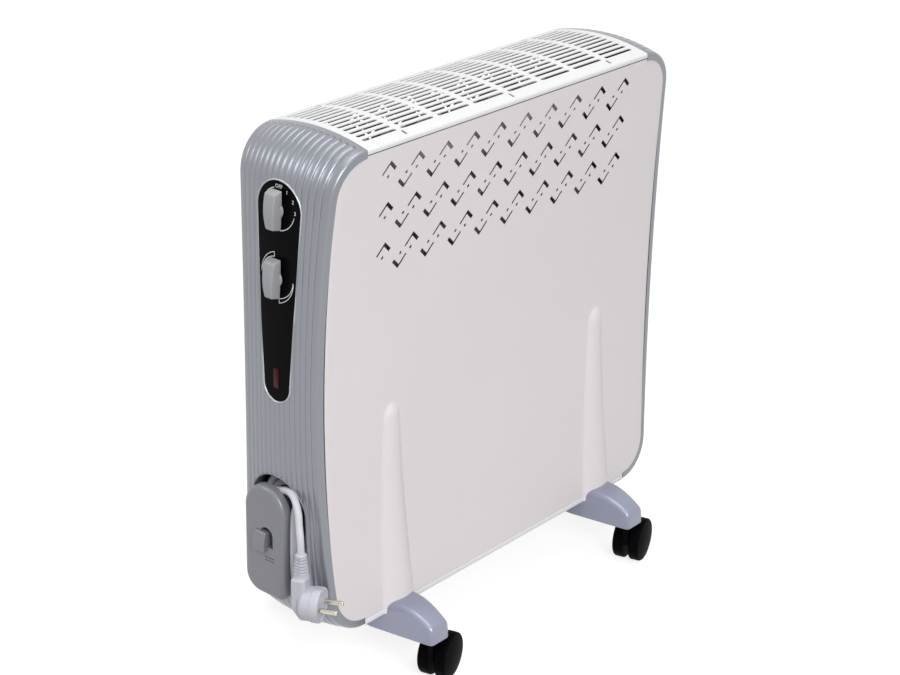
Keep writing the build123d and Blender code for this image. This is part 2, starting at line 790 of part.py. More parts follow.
# Cord winder: a core on the bay floor and a bevelled plate with a hook in its pocket
def cord_winder():
    core = Pos(0, (turn_top + turn_bottom) / 2) * Rot(0, 0, 90)
    core = core * SlotCenterToCenter(turn_top - turn_bottom, 2 * winder_core_radius)
    arch = plate_top - plate_half_width
    tall = arch - plate_bottom
    plate = Pos(plate_shift, arch) * Circle(plate_half_width)
    plate += Pos(plate_shift, plate_bottom + tall / 2) * Rectangle(2 * plate_half_width, tall)
    plate = fillet(plate.vertices().group_by(Axis.Y)[0], plate_corner)
    body = along_x(plate, plate_front_x, plate_back_x)
    body = chamfer(body.faces().sort_by(Axis.X)[0].edges(), plate_bevel)
    body += along_x(core, plate_back_x, bay_floor_x)
    arched = pocket_width / 2
    pocket = Pos(plate_shift, pocket_top - arched) * Circle(arched)
    low = pocket_top - arched - pocket_bottom
    pocket += Pos(plate_shift, pocket_bottom + low / 2) * Rectangle(pocket_width, low)
    body -= along_x(pocket, plate_front_x - 1, plate_front_x + pocket_depth)
    hook_middle = plate_shift + arched + hook_side - hook_width / 2
    hook_face = Pos(hook_middle, pocket_bottom - hook_drop + hook_height / 2)
    hook_face = hook_face * RectangleRounded(hook_width, hook_height, 3)
    body += along_x(hook_face, plate_front_x - hook_reach, plate_front_x + pocket_depth)
    for height in (turn_top, turn_bottom):
        body -= rod_x(screw_radius, bay_floor_x - screw_length, bay_floor_x, 0, height)
    return body


nodes["cord_winder"] = cord_winder()
winder_screws = []
for height in (turn_top, turn_bottom):
    head_x = bay_floor_x + bay_wall
    shank = rod_x(screw_radius, bay_floor_x - screw_length + 1, head_x, 0, height)
    winder_screws.append(shank + rod_x(screw_head_radius, head_x, head_x + screw_head_height, 0, height))
nodes["winder_screws"] = Compound(winder_screws)

# Cord gland standing on the floor of the bay
gland_top = bay_bottom + gland_height
gland = Pos(back_layer_x, gland_run, bay_bottom + gland_height / 2)
gland = gland * Cone(gland_foot_radius, gland_tip_radius, gland_height)
gland += rod_z(gland_tip_radius, back_layer_x, gland_run, bay_bottom - bay_wall - 2, bay_bottom)
gland += rod_z(gland_flange_radius, back_layer_x, gland_run, bay_bottom - bay_wall - 2, bay_bottom - bay_wall)
nodes["cord_gland"] = gland


# Cord: up from the gland, spiralling in on the back layer and out on the front layer
def winding_runs():
    half_step = turn_step / 2
    runs = []
    for turn in range(turns_on_a_layer):
        outer = gland_run - turn * turn_step
        runs += [(back_layer_x, outer), (back_layer_x, half_step - outer)]
    runs += [(back_layer_x, innermost_run), (back_layer_x - layer_step, -innermost_run)]
    for turn in range(turns_on_a_layer - 1, -1, -1):
        outer = gland_run - turn * turn_step
        runs += [(back_layer_x - layer_step, outer - half_step), (back_layer_x - layer_step, -outer)]
    return runs[:-1]


def biarc(start, start_way, end, end_way):
    gap = end - start
    ways = start_way + end_way
    square = 2 * (start_way.dot(end_way) - 1)
    linear = -2 * gap.dot(ways)
    reach = (-linear - sqrt(linear**2 - 4 * square * gap.dot(gap))) / (2 * square)
    joint = (start + start_way * reach + end - end_way * reach) * 0.5
    first = TangentArc(start, joint, tangent=start_way)
    return [first, TangentArc(joint, end, tangent=first % 1)]


def cord_route():
    runs = winding_runs()
    up = Vector(0, 0, 1)
    curves = []
    x, y = runs[0]
    here = Vector(x, y, gland_top)
    rising = True
    for index, (x, y) in enumerate(runs):
        corner = Vector(x, y, turn_top if rising else turn_bottom)
        curves.append(Line(here, corner))
        if index + 1 < len(runs):
            next_x, next_y = runs[index + 1]
            here = Vector(next_x, next_y, corner.Z)
            curves.append(TangentArc(corner, here, tangent=up if rising else -up))
            rising = not rising
    last_x, last_y = runs[-1]
    sweep_radius = last_y - crest_side
    crest = Vector(last_x - crest_reach, crest_side, turn_top + sweep_radius)
    curves.append(TangentArc(corner, crest, tangent=up))
    hang = Vector(plug_place[0], plug_place[1], relief_top + cord_diameter)
    curves += biarc(crest, curves[-1] % 1, hang, Vector(0, 0, -1))
    curves.append(Line(hang, Vector(plug_place[0], plug_place[1], relief_top)))
    return Wire([curve.edge() for curve in curves])


def least_gap(route, samples):
    points = [route @ (index / samples) for index in range(samples + 1)]
    spacing = route.length / samples
    apart = int(2 * cord_diameter / spacing) + 1
    least = route.length
    for index, point in enumerate(points):
        for other in points[index + apart:]:
            least = min(least, (point - other).length)
    return least - cord_diameter


route = cord_route()
start = Plane(origin=route @ 0, z_dir=route % 0)
nodes["mains_cord"] = sweep(start * Circle(cord_diameter / 2), path=route)
cord_volume = pi * cord_diameter**2 / 4 * route.length
volume_ratio = nodes["mains_cord"].volume / cord_volume
print("cord length", round(route.length, 1), "volume ratio", round(volume_ratio, 4))
print("cord least gap to itself", round(least_gap(route, 900), 2))
strand_radii = [round(edge.radius, 1) for edge in route.edges()[-4:] if edge.geom_type == GeomType.CIRCLE]
print("bend radii of the free strand", strand_radii)


# Plug: ribbed strain relief, angled body and its two pins
def strain_relief():
    rings = 2 * relief_ribs
    step = relief_length / rings
    x, y = plug_place
    shape = None
    for ring in range(rings):
        share = ring / (rings - 1)
        radius = relief_tip_radius + (relief_radius - relief_tip_radius) * share
        radius -= 0.9 if ring % 2 else 0
        top = relief_top - ring * step
        piece = rod_z(radius, x, y, top - step, top)
        shape = piece if shape is None else shape + piece
    return shape


nodes["plug_strain_relief"] = strain_relief()
plug_top = relief_top - relief_length
plug_axis_height = plug_top - plug_axis_drop
plug_frame = Pos(plug_place[0], plug_place[1], plug_axis_height) * Rot(0, 0, plug_turn - 90)
half_back = plug_back_length / 2
plug_low = plug_axis_drop - plug_height
back_outline = Polyline(
    (-half_back, plug_axis_drop),
    (half_back, plug_axis_drop),
    (half_back, plug_low),
    (plug_heel_length - half_back, plug_low),
    (-half_back, plug_low + plug_heel_rise),
    close=True,
)
back_part = extrude(Plane.XZ * make_face(back_outline), amount=plug_back_width / 2, both=True)
for side in (0, -1):
    back_part = fillet(back_part.faces().sort_by(Axis.Y)[side].edges(), plug_rounding)
face_start = half_back - plug_face_overlap
face_part = Pos(face_start + plug_face_length / 2, 0, 0) * Rot(0, 90, 0)
face_part = face_part * Cylinder(plug_face_radius, plug_face_length)
face_part = fillet(face_part.edges().filter_by(GeomType.CIRCLE), 1.5)
face_end = face_start + plug_face_length
for way in (-1, 1):
    face_part -= Pos(face_end - 8, 0, way * plug_face_radius) * Box(17, 6, 5)
pins = []
for way in (-1, 1):
    across = way * pin_spacing / 2
    pin = Pos(face_end + pin_length / 2, across, 0) * Rot(0, 90, 0) * Cylinder(pin_radius, pin_length)
    pin = fillet(pin.edges().filter_by(GeomType.CIRCLE).sort_by(Axis.X)[-1:], pin_rounding)
    root = Pos(face_end - pin_root / 2, across, 0) * Rot(0, 90, 0) * Cylinder(pin_root_radius, pin_root)
    pins.append(pin + root)
plug = back_part + face_part
for pin in pins:
    plug -= pin
nodes["plug_body"] = plug_frame * plug
nodes["plug_pins"] = Compound([plug_frame * pin for pin in pins])


# Oil filled fins with their header collars
def oil_fin(x):
    tall = fin_top - fin_bottom
    face = Pos(0, (fin_top + fin_bottom) / 2) * RectangleRounded(fin_depth, tall, fin_corner)
    fin = along_x(face, x - fin_sheet / 2, x + fin_sheet / 2)
    half_boss = fin_boss_width / 2
    for height in (header_lower, header_upper):
        fin += rod_x(fin_boss_radius, x - half_boss, x + half_boss, 0, height)
    for side in (-1, 1):
        fin += rod_z(channel_radius, x, side * channel_spread / 2, header_lower, header_upper)
    for height in (header_lower, header_upper):
        fin -= rod_x(header_bore, x - fin_boss_width, x + fin_boss_width, 0, height)
    return fin


fin_places = [(index - (fin_count - 1) / 2) * fin_pitch for index in range(fin_count)]
for index, x in enumerate(fin_places):
    nodes["oil_fin_" + str(index + 1)] = oil_fin(x)
core_end = fin_places[-1] + fin_boss_width / 2


def collars(height):
    rings = []
    for x in fin_places[:-1]:
        x0 = x + fin_boss_width / 2
        x1 = x + fin_pitch - fin_boss_width / 2
        rings.append(rod_x(collar_outer, x0, x1, 0, height) - rod_x(header_bore, x0, x1, 0, height))
    rings.append(rod_x(collar_outer, core_end, core_end + header_end, 0, height))
    return rings


upper = collars(header_upper)
closing = rod_x(collar_outer, -core_end - header_end, -core_end, 0, header_upper)
upper.append(closing - rod_x(filler_radius, -core_end - header_end, -core_end, 0, header_upper))
nodes["upper_collars"] = Compound(upper)
nodes["lower_collars"] = Compound(collars(header_lower))
head = Pos(-core_end - header_end - filler_head_height / 2, 0, header_upper) * Rot(0, 90, 0)
head = head * extrude(RegularPolygon(filler_head, 6), amount=filler_head_height / 2, both=True)
nodes["filler_plug"] = head + rod_x(filler_radius, -core_end - header_end, -core_end + 6, 0, header_upper)

# Heating element in the lower header, and the flange that closes it
element_start = -core_end - flange_thickness - element_tail
bend = element_spread / 2
element_end = core_end - element_far_gap
legs = [Vector(element_start, -bend, header_lower), Vector(element_end, -bend, header_lower)]
legs += [Vector(element_end, bend, header_lower), Vector(element_start, bend, header_lower)]
loop_way = Vector(1, 0, 0)
element_bend = TangentArc(legs[1], legs[2], tangent=loop_way)
element_path = [Line(legs[0], legs[1]), element_bend, Line(legs[2], legs[3])]
element_path = Wire([curve.edge() for curve in element_path])
element_plane = Plane(origin=legs[0], z_dir=loop_way)
nodes["heating_element"] = sweep(element_plane * Circle(element_radius), path=element_path)
flange = rod_x(flange_radius, -core_end - flange_thickness, -core_end, 0, header_lower)
for side in (-1, 1):
    flange -= rod_x(element_radius, -span, 0, side * bend, header_lower)
nodes["element_flange"] = flange


# Stools that carry the two outer fins on the base pan
def stool(x):
    floor = casing_bottom + pan_thickness
    x0 = x - stool_width / 2
    x1 = x + stool_width / 2
    half = stool_depth / 2
    shape = block(x0, x1, -half, half, fin_bottom - stool_sheet, fin_bottom)
    for side in (-1, 1):
        leg = side * half
        shape += block(x0, x1, leg, leg - side * stool_sheet, floor, fin_bottom)
        shape += block(x0, x1, leg, leg + side * stool_foot, floor, floor + stool_sheet)
    return shape


nodes["core_brackets"] = Compound([stool(fin_places[0]), stool(fin_places[-1])])

# Heat shield between the core and the controls, with the pieces that it carries
pan_floor = casing_bottom + pan_thickness
shield = block(shield_x, shield_x + shield_sheet, -shield_depth / 2, shield_depth / 2, pan_floor, shield_top)
shield += block(shield_x, shield_x + shield_foot, -30, 30, pan_floor, pan_floor + shield_sheet)
shield -= rod_x(shield_hole, shield_x - 5, shield_x + 5, -bend, header_lower)
nodes["heat_shield"] = shield
long_x, long_y, long_z = terminal_size
terminal = Pos(shield_x - long_x / 2, 0, terminal_height) * Box(long_x, long_y, long_z)
nodes["terminal_block"] = fillet(terminal.edges().filter_by(Axis.Z), 2)
long_x, long_y, long_z = tip_switch_size
tip_x = shield_x - long_x / 2 - tip_switch_gap
tip_y = tip_switch_side
tip_switch = Pos(tip_x, tip_y, pan_floor + long_z / 2) * Box(long_x, long_y, long_z)
nodes["tip_over_switch"] = fillet(tip_switch.edges().filter_by(Axis.Z), 2)
fin_face = fin_places[0] - fin_sheet / 2
cutout_side = fin_depth / 2 - cutout_inset
cutout = rod_x(cutout_radius, fin_face - cutout_height, fin_face, cutout_side, middle + cutout_rise)
nodes["thermal_cutout"] = fillet(cutout.edges().sort_by(Axis.X)[:1], 1)

# Wires between the lead, the terminal block, the switch, the thermostat and the element
terminal_x = shield_x - terminal_size[0] / 2
terminal_top = terminal_height + terminal_size[2] / 2
terminal_low = terminal_height - terminal_size[2] / 2
switch_back = bracket_x + switch_depth
thermostat_back = bracket_x + thermostat_depth
wire_rise = [
    (terminal_x, -12, terminal_top),
    (terminal_x, -12, selector_height - 7),
    (switch_back, -12, selector_height - 7),
]
wire_drop = [
    (switch_back, 10, selector_height - 7),
    (switch_back + 18, 10, selector_height - 7),
    (switch_back + 18, 10, thermostat_height + 6),
    (thermostat_back, 10, thermostat_height + 6),
]
wire_feed = [
    (thermostat_back, -10, thermostat_height - 10),
    (terminal_x - 12, -10, thermostat_height - 10),
    (terminal_x - 12, -bend, header_lower),
    (element_start, -bend, header_lower),
]
gland_low = bay_bottom - bay_wall - 2
lead_in = [
    (back_layer_x, gland_run, gland_low),
    (back_layer_x, gland_run, gland_low - lead_drop),
    (terminal_x, gland_run, gland_low - lead_drop),
    (terminal_x, 12, gland_low + 40),
    (terminal_x, 12, terminal_low),
]
wires = [tube(wire_rise, [12], wire_radius), tube(wire_drop, [8, 8], wire_radius)]
wires += [tube(wire_feed, [10, 12], wire_radius), tube(lead_in, [8, 16, 30], cord_diameter / 2)]
nodes["internal_wiring"] = Compound(wires)

# The frame's origin stands on the floor under the middle of the whole heater
os.makedirs("parts", exist_ok=True)
for name, shape in nodes.items():
    export_step(Pos(frame_shift, 0, 0) * shape, "parts/" + name + ".step")
print(len(nodes), "nodes")
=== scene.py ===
import bpy
import bmesh
from math import acos, asin, cos, hypot, pi, radians, sin, sqrt
from mathutils import Matrix, Vector


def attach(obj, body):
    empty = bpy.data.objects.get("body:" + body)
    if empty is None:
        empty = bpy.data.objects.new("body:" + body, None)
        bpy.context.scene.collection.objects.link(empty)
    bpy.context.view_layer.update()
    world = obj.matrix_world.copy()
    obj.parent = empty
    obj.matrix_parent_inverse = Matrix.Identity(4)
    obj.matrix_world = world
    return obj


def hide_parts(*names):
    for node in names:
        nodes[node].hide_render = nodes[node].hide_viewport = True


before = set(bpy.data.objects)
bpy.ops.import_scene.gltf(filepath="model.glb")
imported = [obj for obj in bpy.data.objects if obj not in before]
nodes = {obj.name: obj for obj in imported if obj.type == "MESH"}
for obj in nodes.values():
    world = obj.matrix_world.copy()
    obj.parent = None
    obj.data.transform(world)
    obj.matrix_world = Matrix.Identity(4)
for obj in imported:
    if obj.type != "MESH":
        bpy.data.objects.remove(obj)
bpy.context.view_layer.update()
scene = bpy.context.scene
frameShift = 8.0  # mm from the middle of the casing to the frame's origin
casterNames = ("front_left", "front_right", "rear_left", "rear_right")

# sizes of the casing in mm, measured from the middle of its length and from the floor
casing = {
    "bottom": 71.5, "height": 514.0, "halfSeam": 220.0, "reach": 50.0, "corner": 44.0,
    "halfDepth": 65.3, "waist": 14.5, "crown": 9.0, "panelInset": 6.0, "seam": 0.4,
}
top = casing["bottom"] + casing["height"]
middle = casing["bottom"] + casing["height"] / 2
halfHeight = casing["height"] / 2
straight = halfHeight - casing["corner"]
waistRadius = (halfHeight**2 + casing["waist"]**2) / (2 * casing["waist"])
waistCentre = casing["halfDepth"] - casing["waist"] + waistRadius
crownRadius = (casing["halfDepth"]**2 + casing["crown"]**2) / (2 * casing["crown"])
endRadius = casing["reach"]**2 + straight**2 - casing["corner"]**2
endRadius /= 2 * (casing["reach"] - casing["corner"])
endCentre = casing["halfSeam"] + casing["reach"] - endRadius
tangentX = (casing["halfSeam"] - endCentre) / (endRadius - casing["corner"])
tangentZ = straight / (endRadius - casing["corner"])


def place(x, y, z):
    return Vector(((x + frameShift) / 1000, y / 1000, z / 1000))


def depthAt(z):
    return waistCentre - sqrt(waistRadius**2 - (z - middle)**2)


def crownAt(y):
    return casing["crown"] - crownRadius + sqrt(crownRadius**2 - y * y)


# half length of the outline at a height, drawn in by an inset
def outlineX(z, inset):
    rise = abs(z - middle)
    corner = casing["corner"] - inset
    if rise > straight + corner * tangentZ:
        return casing["halfSeam"] + sqrt(max(0, corner**2 - (rise - straight)**2))
    return endCentre + sqrt((endRadius - inset)**2 - rise**2)


# outer face of the control end, bowed and crowned
def endFaceX(y, z):
    return -outlineX(z, -crownAt(y))


def smoothStep(a, b, t):
    t = min(1, max(0, (t - a) / (b - a)))
    return t * t * (3 - 2 * t)


def between(first, last, share):
    return first + (last - first) * share


# points along an arc, both ends included
def arc(radius, start, sweep, steps, centre=(0, 0)):
    angles = [start + sweep * step / steps for step in range(steps + 1)]
    return [(centre[0] + radius * cos(angle), centre[1] + radius * sin(angle)) for angle in angles]


def circle(radius, count):
    return arc(radius, 0, 2 * pi, count)[:-1]


def addNode(tree, kind, links=(), **settings):
    node = tree.nodes.new(kind)
    for key, value in settings.items():
        setattr(node, key, value)
    for socket, source in links:
        if hasattr(source, "is_output"):
            tree.links.new(source, node.inputs[socket])
        else:
            node.inputs[socket].default_value = source
    return node


def calc(tree, operation, *values):
    return addNode(tree, "ShaderNodeMath", enumerate(values), operation=operation).outputs[0]


def mixColor(tree, share, first, second):
    return addNode(tree, "ShaderNodeMix", [(0, share), (6, first), (7, second)], data_type="RGBA").outputs[2]


# noise in the object's own metres
def addNoise(tree, scale, detail, **more):
    spot = addNode(tree, "ShaderNodeTexCoord")
    links = [("Vector", spot.outputs["Object"]), ("Scale", scale), ("Detail", detail), *more.items()]
    return addNode(tree, "ShaderNodeTexNoise", links).outputs["Fac"]


def clampRange(tree, value, low, high):
    links = [("Value", value), ("From Min", low), ("From Max", high)]
    return addNode(tree, "ShaderNodeMapRange", links, clamp=True).outputs["Result"]


def newGroup(name, inputs, outputs):
    tree = bpy.data.node_groups.new(name, "ShaderNodeTree")
    for label, kind, value in inputs:
        socket = tree.interface.new_socket(name=label, in_out="INPUT", socket_type="NodeSocket" + kind)
        socket.default_value = value
    for label, kind in outputs:
        tree.interface.new_socket(name=label, in_out="OUTPUT", socket_type="NodeSocket" + kind)
    return tree, tree.nodes.new("NodeGroupInput").outputs, tree.nodes.new("NodeGroupOutput").inputs


# cloudy change of tone over a surface, as on sprayed or moulded faces
def makeToneGroup():
    tree, given, out = newGroup("toneDrift", [
        ("Base", "Color", (0.8, 0.8, 0.8, 1)), ("Shade", "Color", (0.7, 0.7, 0.7, 1)),
        ("Scale", "Float", 6.0), ("Amount", "Float", 0.5)], [("Color", "Color"), ("Mask", "Float")])
    spread = clampRange(tree, addNoise(tree, given["Scale"], 5.0, Roughness=0.55), 0.35, 0.7)
    amount = calc(tree, "MULTIPLY", spread, given["Amount"])
    tree.links.new(mixColor(tree, amount, given["Base"], given["Shade"]), out["Color"])
    tree.links.new(spread, out["Mask"])
    return tree


# fine skin of a sprayed coat or a moulded face, as height and roughness
def makeSkinGroup():
    tree, given, out = newGroup("coatSkin", [
        ("Scale", "Float", 900.0), ("Roughness", "Float", 0.4), ("Spread", "Float", 0.08)],
        [("Height", "Float"), ("Roughness", "Float")])
    shift = calc(tree, "SUBTRACT", addNoise(tree, 14.0, 4.0), 0.5)
    scaled = calc(tree, "MULTIPLY", shift, given["Spread"])
    tree.links.new(addNoise(tree, given["Scale"], 2.0), out["Height"])
    tree.links.new(calc(tree, "ADD", scaled, given["Roughness"]), out["Roughness"])
    return tree


# thin dust that settles on faces that look up
def makeDustGroup():
    tree, given, out = newGroup("settledDust", [
        ("Color", "Color", (0.5, 0.5, 0.5, 1)), ("Dust", "Color", (0.62, 0.6, 0.57, 1)),
        ("Amount", "Float", 0.15)], [("Color", "Color")])
    facing = addNode(tree, "ShaderNodeNewGeometry")
    split = addNode(tree, "ShaderNodeSeparateXYZ", [("Vector", facing.outputs["Normal"])])
    upward = clampRange(tree, split.outputs["Z"], 0.3, 1.0)
    patch = calc(tree, "MULTIPLY", upward, addNoise(tree, 55.0, 6.0))
    amount = calc(tree, "MULTIPLY", patch, given["Amount"])
    tree.links.new(mixColor(tree, amount, given["Color"], given["Dust"]), out["Color"])
    return tree


toneGroup = makeToneGroup()
skinGroup = makeSkinGroup()
dustGroup = makeDustGroup()
finishes = {}
finishSettings = {"toneScale": 6.0, "toneAmount": 0.5, "spread": 0.08, "bumpDistance": 0.0004}
socketNames = {
    "coat": "Coat Weight", "coatRough": "Coat Roughness", "metal": "Metallic", "clear": "Transmission Weight",
    "specular": "Specular IOR Level",
}


# a finish drifts between two colours, with a skin on its roughness and height
def makeFinish(name, base, shade, rough, skin=0.02, skinScale=900.0, dust=0.0, **sockets):
    s = finishSettings
    material = bpy.data.materials.new(name)
    material.use_nodes = True
    tree = material.node_tree
    shader = tree.nodes["Principled BSDF"]
    drift = addNode(tree, "ShaderNodeGroup", [
        ("Base", (*base, 1)), ("Shade", (*shade, 1)), ("Scale", s["toneScale"]), ("Amount", s["toneAmount"])],
        node_tree=toneGroup)
    color = drift.outputs["Color"]
    if dust:
        fall = addNode(tree, "ShaderNodeGroup", [("Color", color), ("Amount", dust)], node_tree=dustGroup)
        color = fall.outputs["Color"]
    coat = addNode(tree, "ShaderNodeGroup", [
        ("Scale", skinScale), ("Roughness", rough), ("Spread", s["spread"])], node_tree=skinGroup)
    bump = addNode(tree, "ShaderNodeBump", [
        ("Strength", skin), ("Distance", s["bumpDistance"]), ("Height", coat.outputs["Height"])])
    tree.links.new(color, shader.inputs["Base Color"])
    tree.links.new(coat.outputs["Roughness"], shader.inputs["Roughness"])
    tree.links.new(bump.outputs["Normal"], shader.inputs["Normal"])
    for label, value in sockets.items():
        shader.inputs[socketNames[label]].default_value = value
    finishes[name] = material


makeFinish("panelPaint", (0.70, 0.656, 0.668), (0.67, 0.628, 0.642), 0.42, skin=0.05, skinScale=1400)
makeFinish("grillePaint", (0.69, 0.695, 0.70), (0.66, 0.665, 0.67), 0.4, skin=0.05, skinScale=1400, dust=0.1)
makeFinish("railPaint", (0.74, 0.73, 0.75), (0.68, 0.67, 0.69), 0.42, skin=0.05)
makeFinish("capSilver", (0.232, 0.244, 0.275), (0.213, 0.225, 0.254), 0.37, skin=0.06, skinScale=1800,
           metal=0.5, coat=0.6, coatRough=0.28)
makeFinish("winderSilver", (0.21, 0.211, 0.237), (0.19, 0.191, 0.215), 0.36, skin=0.08, skinScale=1800,
           metal=0.2)
# painted shade: a dark grey for recesses, namely the cord bay, the winder's pocket and the flute stops
makeFinish("recessShadeGrey", (0.14, 0.144, 0.155), (0.11, 0.113, 0.122), 0.55, skin=0.1)
makeFinish("fasciaBlack", (0.002, 0.002, 0.0025), (0.003, 0.003, 0.004), 0.2, skin=0.01, specular=0.03)
makeFinish("rimSilver", (0.46, 0.475, 0.50), (0.40, 0.415, 0.44), 0.34, metal=0.4)
makeFinish("legendWhite", (0.72, 0.74, 0.76), (0.64, 0.66, 0.68), 0.5)
makeFinish("lensRed", (0.05, 0.002, 0.002), (0.03, 0.001, 0.001), 0.2, specular=0.1)
makeFinish("knobGrey", (0.305, 0.31, 0.328), (0.28, 0.285, 0.302), 0.38, skin=0.06, skinScale=2200)
makeFinish("cordWhite", (0.57, 0.57, 0.625), (0.527, 0.527, 0.58), 0.45, skin=0.05, skinScale=1600)
makeFinish("plugWhite", (0.49, 0.49, 0.55), (0.455, 0.455, 0.51), 0.45, skin=0.05, skinScale=1600)
makeFinish("pinMetal", (0.62, 0.58, 0.50), (0.50, 0.45, 0.36), 0.22, skin=0.04, skinScale=3000, metal=1.0)
makeFinish("footSilver", (0.275, 0.287, 0.38), (0.254, 0.266, 0.353), 0.36, skin=0.06, skinScale=1800,
           metal=0.35, coat=0.5, coatRough=0.3)
makeFinish("casterBlack", (0.001, 0.001, 0.0015), (0.002, 0.002, 0.003), 0.5, skin=0.1, skinScale=1500,
           specular=0.02)
makeFinish("coreCream", (0.60, 0.57, 0.47), (0.52, 0.49, 0.40), 0.45, skin=0.08)
makeFinish("plainSteel", (0.50, 0.50, 0.51), (0.40, 0.40, 0.41), 0.32, skin=0.12, skinScale=2500, metal=1.0)
makeFinish("brassPlug", (0.60, 0.44, 0.18), (0.48, 0.34, 0.13), 0.34, skin=0.05, metal=1.0)
makeFinish("brightSheet", (0.62, 0.63, 0.64), (0.54, 0.55, 0.56), 0.34, skin=0.1, skinScale=700, metal=1.0)
# painted shade: a dark grey for faces inside the casing, so that slots, vents and seams look dark
makeFinish("paintedShadeGrey", (0.10, 0.10, 0.105), (0.08, 0.08, 0.085), 0.6, skin=0.1)
makeFinish("innerPlastic", (0.02, 0.02, 0.02), (0.03, 0.03, 0.03), 0.5, skin=0.08)
makeFinish("ivoryMoulding", (0.66, 0.62, 0.52), (0.58, 0.54, 0.45), 0.5, skin=0.08)
makeFinish("wireSleeve", (0.55, 0.52, 0.48), (0.48, 0.45, 0.41), 0.55, skin=0.1)
makeFinish("lampGlass", (0.8, 0.45, 0.3), (0.7, 0.38, 0.25), 0.1, clear=0.6)
print("finishes ready:", len(finishes))

# CAD nodes that stay, by the finish that they take
keptNodes = {
    "plainSteel": [
        "control_bracket", "selector_shaft", "thermostat_shaft", "thermal_cutout", "heating_element",
        "element_flange", "core_brackets", "bracket_screws", "foot_bolts", "winder_screws",
        *(name + "_caster_axle" for name in casterNames)],
    "innerPlastic": ["selector_switch", "thermostat", "tip_over_switch"],
    "coreCream": ["upper_collars", "lower_collars", *("oil_fin_" + str(number) for number in range(1, 7))],
    "ivoryMoulding": ["terminal_block"], "wireSleeve": ["internal_wiring"], "brassPlug": ["filler_plug"],
    "brightSheet": ["heat_shield"], "lampGlass": ["indicator_lamp"],
}
for finish, names in keptNodes.items():
    for name in names:
        nodes[name].data.materials.clear()
        nodes[name].data.materials.append(finishes[finish])


def newPiece(name, mesh, finish):
    piece = bpy.data.objects.new(name, mesh)
    scene.collection.objects.link(piece)
    mesh.materials.clear()
    mesh.materials.append(finishes[finish])
    return piece


def meshFrom(name, points, faces):
    mesh = bpy.data.meshes.new(name)
    mesh.from_pydata([place(*point) for point in points], [], faces)
    mesh.validate()
    return mesh


def tidyMesh(mesh, angle=35, merge=1e-6):
    work = bmesh.new()
    work.from_mesh(mesh)
    bmesh.ops.remove_doubles(work, verts=work.verts, dist=merge)
    bmesh.ops.recalc_face_normals(work, faces=work.faces)
    for edge in work.edges:
        edge.smooth = not (edge.is_manifold and edge.calc_face_angle(0) > radians(angle))
    for face in work.faces:
        face.smooth = True
    work.to_mesh(mesh)
    work.free()
    return mesh


# a piece from points in the casing's mm
def build(name, points, faces, finish, angle=35, merge=1e-6):
    return newPiece(name, tidyMesh(meshFrom(name, points, faces), angle, merge), finish)


# a shape in mm about its own middle, for the node trees to copy
def makeShape(name, points, faces, finish, angle=35):
    mesh = bpy.data.meshes.new(name)
    mesh.from_pydata([(x / 1000, y / 1000, z / 1000) for x, y, z in points], [], faces)
    return newPiece(name, tidyMesh(mesh, angle), finish)


# turns an open sheet to face a direction
def faceTo(mesh, direction):
    work = bmesh.new()
    work.from_mesh(mesh)
    bmesh.ops.recalc_face_normals(work, faces=work.faces)
    if sum(face.normal.dot(direction) * face.calc_area() for face in work.faces) < 0:
        bmesh.ops.reverse_faces(work, faces=work.faces)
    work.to_mesh(mesh)
    work.free()


# turns what the modifiers make into a plain mesh and removes them
def settle(piece):
    view = bpy.context.evaluated_depsgraph_get()
    mesh = bpy.data.meshes.new_from_object(
        piece.evaluated_get(view), preserve_all_data_layers=True, depsgraph=view)
    piece.modifiers.clear()
    old = piece.data
    piece.data = mesh
    bpy.data.meshes.remove(old)
    return piece


def join(body, slot, piece, *replaced):
    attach(piece, body)
    if replaced:
        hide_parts(*replaced)
    return piece


# faces of an open grid of rows of points
def gridFaces(rows, columns):
    faces = []
    for i in range(rows - 1):
        for j in range(columns - 1):
            a = i * columns + j
            faces.append((a, a + 1, a + columns + 1, a + columns))
    return faces


# faces of a tube of rings of points, with or without its ends
def ringFaces(rings, count, closeEnds=True):
    faces = []
    for i in range(rings - 1):
        for j in range(count):
            k = (j + 1) % count
            faces.append((i * count + j, i * count + k, (i + 1) * count + k, (i + 1) * count + j))
    if closeEnds:
        faces.append(tuple(range(count - 1, -1, -1)))
        faces.append(tuple((rings - 1) * count + j for j in range(count)))
    return faces


def shifted(first, faces):
    return [tuple(first + k for k in face) for face in faces]


def prism(name, outline, low, high, spotOf, finish, angle=35):
    points = [spotOf(a, b, c) for c in (low, high) for a, b in outline]
    return build(name, points, ringFaces(2, len(outline)), finish, angle)


def alongX(y, z, x):
    return (x, y, z)


# a round shape from distances along its axis and their radii
def revolve(name, profile, count, spotOf, finish, angle, merge=1e-6):
    points = [spotOf(along, a, b) for along, radius in profile for a, b in circle(radius, count)]
    return build(name, points, ringFaces(len(profile), count), finish, angle, merge)


def solidify(piece, thickness):
    wall = piece.modifiers.new("wall", "SOLIDIFY")
    wall.thickness = thickness / 1000
    wall.offset = -1.0
    wall.use_even_offset = False


def bevel(piece, width, segments=2, angle=35):
    edge = piece.modifiers.new("edge", "BEVEL")
    edge.width = width / 1000
    edge.segments = segments
    edge.limit_method = "ANGLE"
    edge.angle_limit = radians(angle)
    edge.harden_normals = False


def cut(piece, cutter):
    hole = piece.modifiers.new("hole", "BOOLEAN")
    hole.operation = "DIFFERENCE"
    hole.solver = "EXACT"
    hole.material_mode = "TRANSFER"
    hole.object = cutter
    settle(piece)
    bpy.data.objects.remove(cutter)


